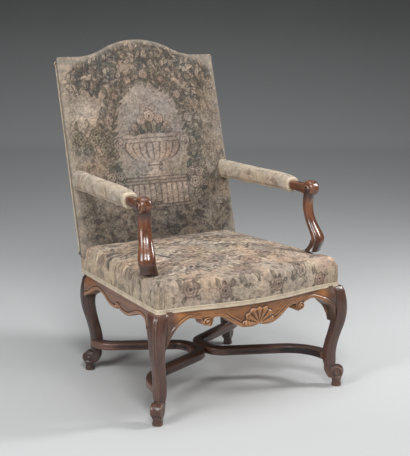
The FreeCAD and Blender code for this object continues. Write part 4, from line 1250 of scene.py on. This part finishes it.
webbing = joined("seat_webbing_bands", bands)
outward(webbing)
dressed(webbing, jute, 50)
place_on_chair(webbing, "webbing", "seat_webbing")

columns, rows = np.meshgrid(np.linspace(-1, 1, 30), np.linspace(-1, 1, 30))
top = ring_of(columns * (half_width(rows * 285) - 14), rows * 285 - 4, HESSIAN_HEIGHT)
low = rim(top).copy()
low[:, 2] = HESSIAN_HEIGHT - 1
hessian = quilt("seat_hessian_cloth", top, [low])
dressed(hessian, sacking, 50)
place_on_chair(hessian, "hessian", "seat_hessian")

# Back. Tapestry over a thin pad of hair, arched at the top, drawn round the frame's sides
# and finished with a cream piping where it meets the plain cloth behind.

DEPTH, BACK_HALF, BACK_FOOT, BACK_CROWN, TAPER = 46, 304.5, -16.5, 29, 15.0
cartoon = Cartoon(-370, 370, -80, 790, STRAW, 5)
cartoon.picture[:] = (0.215, 0.178, 0.144)
cartoon.dab(cartoon.cloud(90, 80) * 0.5, (0.190, 0.175, 0.135))
cartoon.dab(ramp(cartoon.cloud(70, 90), 0.5, 0.9) * 0.5, (0.215, 0.165, 0.130))
up, across = cartoon.up, cartoon.across
cartoon.dab(ramp(190 - up, -60, 150) * 0.6, (0.130, 0.116, 0.096))
arch = np.hypot(across / 150, (up - 400) / 185)
cartoon.dab(ramp(1.05 - arch, 0, 0.3) * ramp(up, 200, 260) * 0.8, (0.205, 0.180, 0.160))
cartoon.dab(bump(np.hypot((across + 60) / 80, (up - 500) / 36), 1.0) * 0.4, (0.31, 0.26, 0.21))
cartoon.dab(bump(np.hypot((across + 245) / 52, (up - 455) / 42), 1.0) * 0.75, (0.34, 0.285, 0.225))
leaf_tones = [GREEN, SAGE, BLUE, TAUPE, ASH, BLUE, SAND]
boughs = (
    ((-300, 690), (-240, 640), (-190, 620), (-130, 640), (-60, 690)),
    ((-290, 560), (-230, 575), (-175, 555), (-140, 590)),
    ((-40, 720), (20, 690), (90, 680), (160, 650), (230, 640), (300, 655)),
    ((300, 600), (235, 590), (190, 560), (180, 500)),
    ((-20, 640), (40, 640), (100, 615), (160, 590)),
    ((-250, 700), (-170, 690), (-100, 720)),
    ((70, 735), (130, 700), (220, 690)),
)
for line in boughs:
    cartoon.stroke(line, 3.2, BROWN, 0.8)
    cartoon.vine(line, 30, 52, 11.5, leaf_tones, INK)
    cartoon.vine(line, 16, 34, 8, [SAND, ASH, BLUE], INK, 1.4)
for number in range(120):
    x, y = cartoon.chance.uniform(-320, 320), cartoon.chance.uniform(560, 770)
    tone = leaf_tones[cartoon.chance.integers(7)]
    cartoon.leaf(x, y, cartoon.chance.uniform(22, 46), cartoon.chance.uniform(6, 11),
                 cartoon.chance.uniform(0, 6.3), tone, INK, SAND if number % 3 == 0 else None)
ring = [(-158, 250), (-166, 340), (-156, 430), (-122, 512), (-66, 568), (0, 588),
        (66, 568), (122, 512), (156, 430), (166, 340), (158, 250)]
for shift in (-13, 13):
    band = [(x * (1 + shift / 160), y + shift * 0.8) for x, y in ring]
    cartoon.stroke(band, 9, (0.150, 0.130, 0.098), 0.75)
    cartoon.vine(band, 70, 27, 6.5, [GREEN, BLUE, SAGE, TAUPE, ASH], INK, 0.8)
for number, (x, y) in enumerate(ring):
    cartoon.rose(x, y, 12 + 3 * (number % 3), (0.285, 0.236, 0.196), (0.13, 0.095, 0.08))
for side in (-1, 1):
    for number in range(150):
        x, y = side * cartoon.chance.uniform(185, 345), cartoon.chance.uniform(20, 560)
        tone = [SAGE, STRAW, ASH, TAUPE, GREEN][cartoon.chance.integers(5)]
        if side < 0 and 415 < y < 500:
            continue
        cartoon.leaf(x, y, cartoon.chance.uniform(18, 40), cartoon.chance.uniform(3.5, 7),
                     cartoon.chance.normal(1.57, 0.5), tone, (0.13, 0.105, 0.08))
for number in range(9):
    x = -290 + 14 * number
    cartoon.rose(x, 360 + 26 * math.sin(number * 1.3), 22, (0.185, 0.175, 0.13), INK, 7)

PALE, SHADE, LINE = (0.272, 0.225, 0.186), (0.180, 0.142, 0.117), (0.095, 0.070, 0.060)
profile = (
    # height, half width
    (228, 66), (236, 68), (241, 46), (250, 20), (262, 16), (268, 28), (276, 22), (290, 70), (312, 98),
    (334, 108), (352, 102), (362, 96), (366, 110), (374, 112), (379, 92),
)
VASE_FOOT, VASE_TOP = 228, 379
on_vase = (up > VASE_FOOT) * (up < VASE_TOP)
half = flow(profile, np.clip(up[:, 0], VASE_FOOT, VASE_TOP))[:, 0][:, None]
inside = ramp(half - np.abs(across), -0.5, 1.0) * on_vase
cartoon.dab(inside * 0.95, PALE)
cartoon.dab(inside * ramp(across / half, 0.1, 1.0) * 0.7, SHADE)
gadroon = np.cos(across / half * 26)
cartoon.dab(inside * (up > 276) * (up < 345) * ramp(gadroon, 0.5, 1.0) * 0.6, LINE)
cartoon.dab(bump(np.abs(across) - half, 1.6) * on_vase * 0.95, LINE)
for level in (236, 268, 348, 363, 378):
    cartoon.dab(bump(up - level, 1.4) * (np.abs(across) < half) * 0.85, LINE)
for side in (-1, 1):
    cartoon.scroll(side * 126, 352, 22, 1.57 - side * 1.2, -side, 3.2, PALE, 1.2, 1.2)
    cartoon.scroll(side * 126, 352, 25, 1.57 - side * 1.2, -side, 1.3, LINE, 1.2, 1.2)
    for number in range(5):
        cartoon.leaf(side * 12 * number, 380, 60 - 5 * number, 10, 1.57 - side * 0.33 * number,
                     [GREEN, SAGE, BLUE, SAGE, TAUPE][number], INK)
for x, y, size in ((0, 440, 22), (-34, 426, 17), (36, 428, 18), (-62, 402, 14), (64, 404, 15),
                   (16, 468, 13), (-20, 470, 13)):
    cartoon.rose(x, y, size, (0.310, 0.250, 0.208), (0.12, 0.088, 0.074))
plinth = (np.abs(across) < 118) * (up > 120) * (up < VASE_FOOT)
cartoon.dab(plinth * 0.9, (0.225, 0.182, 0.146))
cartoon.dab(plinth * ramp(across, 20, 118) * 0.5, SHADE)
for level in (121, 132, 205, 216, 227):
    cartoon.dab(bump(up - level, 1.7) * (np.abs(across) < 124) * 0.9, LINE)
for column in range(-5, 6):
    belly = 7 + 4 * np.sin((up - 132) / 73 * math.pi)
    post = ramp(belly - np.abs(across - column * 21.5), -0.5, 1) * (up > 134) * (up < 203)
    cartoon.dab(post * 0.6, PALE)
    cartoon.dab(bump(np.abs(across - column * 21.5) - belly, 1.2) * (up > 134) * (up < 203) * 0.8, LINE)
SPRAY = ((150, 200, 24), (172, 236, 19), (138, 238, 17), (186, 190, 18), (160, 158, 20))
for side in (-1, 1):
    for number, (x, y, size) in enumerate(SPRAY):
        cartoon.leaf(side * x, y, 44, 10, 1.57 + side * (0.9 - 0.5 * number), (BLUE, GREEN)[number % 2], INK)
        cartoon.rose(side * x, y, size, (0.285, 0.238, 0.195), INK)
cartoon.wash = 0.4
for number in range(170):
    x, y = cartoon.chance.uniform(-330, 330), cartoon.chance.uniform(-50, 118)
    tone = [GREEN, BLUE, BLUE, ASH, TAUPE][cartoon.chance.integers(5)]
    cartoon.leaf(x, y, cartoon.chance.uniform(24, 52), cartoon.chance.uniform(4, 8),
                 cartoon.chance.uniform(-0.3, 0.9) + (2.2 if number % 2 else 0), tone, INK)
for number in range(700):
    x, y = cartoon.chance.uniform(-320, 320), cartoon.chance.uniform(-40, 740)
    if math.hypot(x / 150, (y - 400) / 185) < 1 and y > 240:
        continue
    turn = cartoon.chance.uniform(0, 6.3)
    long = cartoon.chance.uniform(8, 20)
    bend = [(x, y), (x + long * math.cos(turn), y + long * math.sin(turn)),
            (x + long * 1.7 * math.cos(turn + 0.5), y + long * 1.7 * math.sin(turn + 0.5))]
    cartoon.stroke(bend, 1.1, INK if number % 2 else ASH, 0.55)
cartoon.deepened(0.20, 1.55, 1.15)
cartoon.faded(0.28)
cartoon.picture *= np.array([0.87, 0.835, 0.82])

CREST = (232, 57, 658)  # half width, rise, and height of its foot
columns, rows = np.meshgrid(crowded(246), (crowded(276) + 1) / 2)
x = columns * BACK_HALF
top_line = swell(x, *CREST) - 9 * round_over(np.abs(x), 296, 9)
foot_line = BACK_FOOT + 7 * round_over(np.abs(x), 297, 8)
up = foot_line + (top_line - foot_line) * rows
level = (np.abs(columns) ** 7 + np.abs(2 * rows - 1) ** 7) ** (1 / 7)
crown = BACK_CROWN * np.clip(1 - np.clip(level, 0, 1) ** 3, 0, 1) ** 0.42
ripple = 0.7 * np.sin(x / 26 + 1.5 * np.sin(up / 61)) * np.sin(up / 47)
deep = 1.0 - crown - ripple * np.clip(crown / BACK_CROWN, 0, 1)
flat = np.stack([x, deep, up], axis=-1)
edge = rim(flat)


def offset_plane(loop, reach):
    """A loop moved outwards in the back's own plane."""
    swapped = loop[:, [0, 2, 1]]
    return offset(swapped, reach)[:, [0, 2, 1]]


skirts, flat_skirts = [], []
for share in np.linspace(0, 1, 18)[1:]:
    puff = 1.0 * math.sin(share * math.pi)
    loop = offset_plane(edge, puff - TAPER * share)
    loop[:, 1] = edge[:, 1] * (1 - share) + (DEPTH - 3) * share
    loop[:, 2] = np.maximum(loop[:, 2], BACK_FOOT)
    skirts.append(in_back(loop))
    flat_skirts.append(offset_plane(edge, share * DEPTH))
inner = offset_plane(edge, -TAPER - 3)
for share in (1.0, 0.7, 0.4, 0.1):
    loop = inner.copy()
    loop[:, 0] *= share
    loop[:, 2] = 330 + (loop[:, 2] - 330) * share
    loop[:, 1] = DEPTH - 2.5
    skirts.append(in_back(loop))
    flat_skirts.append(offset_plane(edge, DEPTH))
back = quilt("back_tapestry", in_back(flat), skirts)
sample_x = np.concatenate([flat[..., 0].ravel()] + [loop[:, 0] for loop in flat_skirts])
sample_y = np.concatenate([flat[..., 2].ravel()] + [loop[:, 2] for loop in flat_skirts])
colours = cartoon.at(sample_x, sample_y)
# Painted light: the back's rounded edge and sides are painted paler.
painted_edge_light = ramp(np.concatenate([level.ravel(), np.ones(len(sample_x) - level.size)]), 0.93, 1.0)[:, None]
colours = colours * (1 - 0.35 * painted_edge_light) + np.array((0.40, 0.34, 0.27)) * 0.35 * painted_edge_light
paint(back, colours)
dressed(back, woven("back_weave", "Z"), 70)
place_on_chair(back, "tapestry", "back_cover", "back_stuffing", "back_hessian", "back_webbing")

# Outside of the back. Plain linen stretched over the beech frame and tacked round its edges,
# where the piping hides the tacks.

linen = cord_colour("outside_linen", (0.36, 0.31, 0.235), (0.29, 0.25, 0.185), 420.0)
columns, rows = np.meshgrid(crowded(90), (crowded(100) + 1) / 2)
x = columns * (BACK_HALF - 16)
top_line = swell(x, *CREST) - 9 * round_over(np.abs(x), 280, 8.6) - TAPER - 1.5
up = BACK_FOOT + 1 + (top_line - BACK_FOOT - 1) * rows
level = np.maximum(np.abs(columns), np.abs(2 * rows - 1))
slack = 1.0 * (1 - level ** 6) + 0.3 * np.sin(x / 30) * (1 - level ** 2)
outer = np.stack([x, DEPTH + slack, up], axis=-1)
under = rim(outer).copy()
under[:, 1] = DEPTH - 1.6
outside = quilt("back_outside_linen", in_back(outer), [in_back(under)])
dressed(outside, linen, 50)
place_on_chair(outside, "backing_cloth", "back_outside_cover")

# Piping. A thin cord in cream cloth, sewn in where the tapestry meets the linen; it runs up
# both sides of the back and over the crest.

course = offset_plane(edge, 1.2 - TAPER)
course[:, 1] = DEPTH - 1.5
keep = course[:, 2] > 6
start = np.argmax(~keep)
course, keep = np.roll(course, -start, axis=0), np.roll(keep, -start)
course = in_back(course[keep])
angle = whole_turn(10)[None, :, None]
tangent = np.gradient(course, axis=0)
tangent /= np.linalg.norm(tangent, axis=1)[:, None]
square = in_back(np.array([0, 1, 0])) - in_back(np.array([0, 0, 0]))
beside = np.cross(tangent, square)
beside /= np.linalg.norm(beside, axis=1)[:, None]
cord = np.cos(angle) * square + np.sin(angle) * beside[:, None]
piping = skin("back_piping", course[:, None] + 2.4 * cord)
dressed(piping, braid_cloth, 60)
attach(piping, "root")

# Arm pads. Curled hair under tapestry, nailed along both sides of the arm, rounded on top
# and arched over the wood in front, with a narrow corded edge.

runner = Cartoon(-110, 110, -10, 480, STRAW, 23)
runner.wash = 0.14
runner.picture[:] = (0.400, 0.322, 0.240)
runner.dab(runner.cloud(24, 30) * 0.5, (0.33, 0.262, 0.195))
for number in range(150):
    x, y = runner.chance.uniform(-105, 105), runner.chance.uniform(-5, 475)
    if number % 7 == 1:
        runner.rose(x, y, runner.chance.uniform(6, 10), (0.31, 0.225, 0.175), (0.17, 0.12, 0.095))
    tone = (SAGE, TAUPE, (0.27, 0.235, 0.165), (0.42, 0.35, 0.26))[number % 4]
    runner.leaf(x, y, runner.chance.uniform(12, 26), runner.chance.uniform(2.6, 4.4),
                runner.chance.uniform(0, 6.3), tone, (0.25, 0.19, 0.14))
runner.faded(0.12)
runner.picture *= 1.05
PAD_HALF, PAD_UNDER = 24.4, 607.0
PAD_TOP = ((88, 651), (106, 656), (150, 660.5), (300, 664), (500, 670))
angle = whole_turn(72)
rings = []
lengths = np.concatenate([[88.3, 88.0, 88.6, 90, 92.5, 96], np.linspace(100, 492, 130)])
for number, y in enumerate(lengths):
    top = flow(PAD_TOP, [y])[0, 0]
    end = ramp(y, 87.5, 98)
    shrink = (0.8, 0.93, 0.975, 0.99, 1.0, 1.0)[number] if number < 6 else 1.0
    u, v = squared(angle, 3.0)
    low = PAD_UNDER + 1.2 * math.sin(y / 19)
    u = u * (1 - 0.05 * ramp(-v, 0.4, 1.0))
    half = (PAD_HALF - 1.8 * ramp(y, 420, 492)) * (0.96 + 0.04 * end) * shrink
    half = half + 0.5 * math.sin(y / 23) * (number > 5)
    height = (top - low) / 2
    arch = 4.5 * (1 - end) * (1 - u ** 2)
    z = low + height + height * v * shrink - arch * 0.4
    rings.append(ring_of(half * u, y, z))
rings = np.array(rings)
pad_right = skin("arm_pad_right_cloth", turned(rings, ARM_TURN, ARM_FRONT))
middle_ring = rings[60][:, [0, 2]]
step = np.hypot(*np.diff(middle_ring, axis=0, append=middle_ring[:1]).T)
along_ring = np.concatenate([[0], np.cumsum(step)[:-1]])
crest = along_ring[len(angle) // 4]
around = (along_ring - crest + step.sum() / 2) % step.sum() - step.sum() / 2
sample_x = np.repeat(around[None, :], len(lengths), axis=0)
sample_y = np.repeat(lengths[:, None] - 80, len(angle), axis=1)
colours = runner.at(sample_x.ravel(), sample_y.ravel())
heights = rings[..., 2].ravel()
seam = bump(heights - 618, 1.7)[:, None]
colours = colours * (1 - 0.55 * seam) + np.array((0.15, 0.10, 0.07)) * 0.55 * seam
corded = np.maximum(
    bump(heights - 611, 3.5),
    np.repeat(bump(lengths - 91, 3.0), len(angle)),
)[:, None]
colours = colours * (1 - 0.7 * corded) + np.array((0.56, 0.46, 0.33)) * 0.7 * corded
paint(pad_right, colours)
dressed(pad_right, woven("arm_weave", "Y"), 70)
pad_left = mirrored(pad_right, "arm_pad_left_cloth")
for side, pad in (("right", pad_right), ("left", pad_left)):
    place_on_chair(pad, "arm_cloth", f"arm_pad_cover_{side}", f"arm_pad_stuffing_{side}")

# Hidden frame, pins and screws keep their shapes from the model: bare beech inside the
# upholstery, wooden pegs rubbed level with the legs, dark iron screws.

bare = waxed_wood(
    "bare_beech", (0.26, 0.17, 0.095), (0.38, 0.26, 0.15), (0.47, 0.34, 0.21), "x",
    (0.50, 0.37, 0.24), gloss=0.6
)
iron = Finish("dark_iron")
rust = iron.noise(iron.place(), 240.0, 3.0)
iron.shade(
    Base_Color=iron.mix(iron.within(rust, 0.4, 0.7), (0.035, 0.033, 0.032), (0.10, 0.055, 0.035)),
    Roughness=rust * 0.4 + 0.35, Metallic=0.85,
)
FINISHES = {
    "rear_rail": bare, "back_crest_rail": bare, "back_lower_rail": bare, "frame_pegs": leg_wood,
    "stretcher_dowels": stretcher_wood, "arm_support_screws": iron.made,
}
for node, finish in FINISHES.items():
    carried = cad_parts[node]
    carried.data.materials.clear()
    carried.data.materials.append(finish)

# Studio. A wide sheet of paper under five soft lamps, its colour graded with painted light and shade:
# paler in front and round the chair, painted darker where it curves up behind; the camera stands in front, to
# the left.

CAMERA_AT, LOOKS_AT = (-1.7799, -2.9611, 1.1661), (0, -0.0713, 0.6401)
HEADING = math.atan2(LOOKS_AT[1] - CAMERA_AT[1], LOOKS_AT[0] - CAMERA_AT[0])
c, s = math.cos(HEADING), math.sin(HEADING)
sweep = [(-9, 0), (-2, 0), (2, 0), (6, 0)]
sweep += [(6 + 3 * math.sin(turn), 3 - 3 * math.cos(turn)) for turn in np.linspace(0.05, math.pi / 2, 30)]
sweep.append((9, 9))
paper_points = []
for forward, height in sweep:
    for side in (-24, 24):
        paper_points.append((forward * c - side * s, forward * s + side * c, height))
count = len(sweep)
faces = [(2 * k, 2 * k + 1, 2 * k + 3, 2 * k + 2) for k in range(count - 1)]
mesh = bpy.data.meshes.new("studio_floor")
mesh.from_pydata(paper_points, [], faces)
floor = bpy.data.objects.new("studio_floor", mesh)
bpy.context.collection.objects.link(floor)
paper = Finish("paper_painted_light")
at = paper.place(turn=(0, 0, -HEADING))
mottle = paper.noise(at, 1.3, 2.0, 0.5)
forward = paper.node("ShaderNodeSeparateXYZ", None, {0: at})
height = paper.node("ShaderNodeSeparateXYZ", None, {0: at}, out=2)
PAPER_PAINTED_LIGHT = (
    # metres along the paper, tone, which carries painted light and shade
    (-2.0, 0.43), (-0.5, 0.46), (0.5, 0.57), (5.0, 0.51), (6.6, 0.50), (7.5, 0.40), (8.3, 0.31),
    (8.95, 0.24), (9.55, 0.165), (10.1, 0.12), (12.0, 0.10),
)
stops = [((d + 2) / 14, (tone * 0.985, tone * 0.995, tone)) for d, tone in PAPER_PAINTED_LIGHT]
grade = paper.node("ShaderNodeValToRGB", {"stops": stops}, {0: (forward + height + 2.0) / 14.0})
paper.shade(Base_Color=paper.mix(mottle * 0.1, grade, (0.4, 0.4, 0.4)), Roughness=0.8)
dressed(floor, paper.made, 60)

world = bpy.data.worlds.new("studio")
world.use_nodes = True
world.node_tree.nodes["Background"].inputs["Color"].default_value = (0.80, 0.83, 0.87, 1)
world.node_tree.nodes["Background"].inputs["Strength"].default_value = 0.10
bpy.context.scene.world = world


def lamp(name, place, towards, width, height, power):
    """A soft box aimed at a point, in metres and watts."""
    light = bpy.data.lights.new(name, "AREA")
    light.shape = "RECTANGLE"
    light.size, light.size_y = width, height
    light.energy = power
    box = bpy.data.objects.new(name, light)
    bpy.context.collection.objects.link(box)
    aim(box, place, towards)


def aim(thing, place, towards):
    """Put a lamp or the camera at a place, turned towards a point."""
    way = [b - a for a, b in zip(place, towards)]
    level = math.hypot(way[0], way[1])
    thing.location = place
    thing.rotation_euler = (math.atan2(level, -way[2]), 0, math.atan2(-way[0], way[1]))


lamp("key_right", (2.3, -1.3, 2.1), (0, 0, 0.4), 0.6, 0.8, 68)
lamp("key_front", (-1.3, -2.7, 2.7), (0, 0, 0.4), 0.9, 0.9, 76)
lamp("top", (0.1, -0.3, 3.3), (0, 0, 0.3), 1.6, 1.6, 42)
lamp("left_strip", (-2.4, -0.9, 1.5), (0, 0, 0.5), 0.7, 1.5, 46)
lamp("backdrop", (2.9, 4.7, 5.0), (3.7, 5.9, 0.3), 7.0, 2.5, 60)

camera = bpy.data.objects.new("camera", bpy.data.cameras.new("camera"))
bpy.context.collection.objects.link(camera)
aim(camera, CAMERA_AT, LOOKS_AT)
camera.data.sensor_width = 36
camera.data.lens = 84.56
camera.data.shift_x = 0.009
camera.data.shift_y = -0.0943
bpy.context.scene.camera = camera
bpy.context.scene.view_settings.view_transform = "Standard"
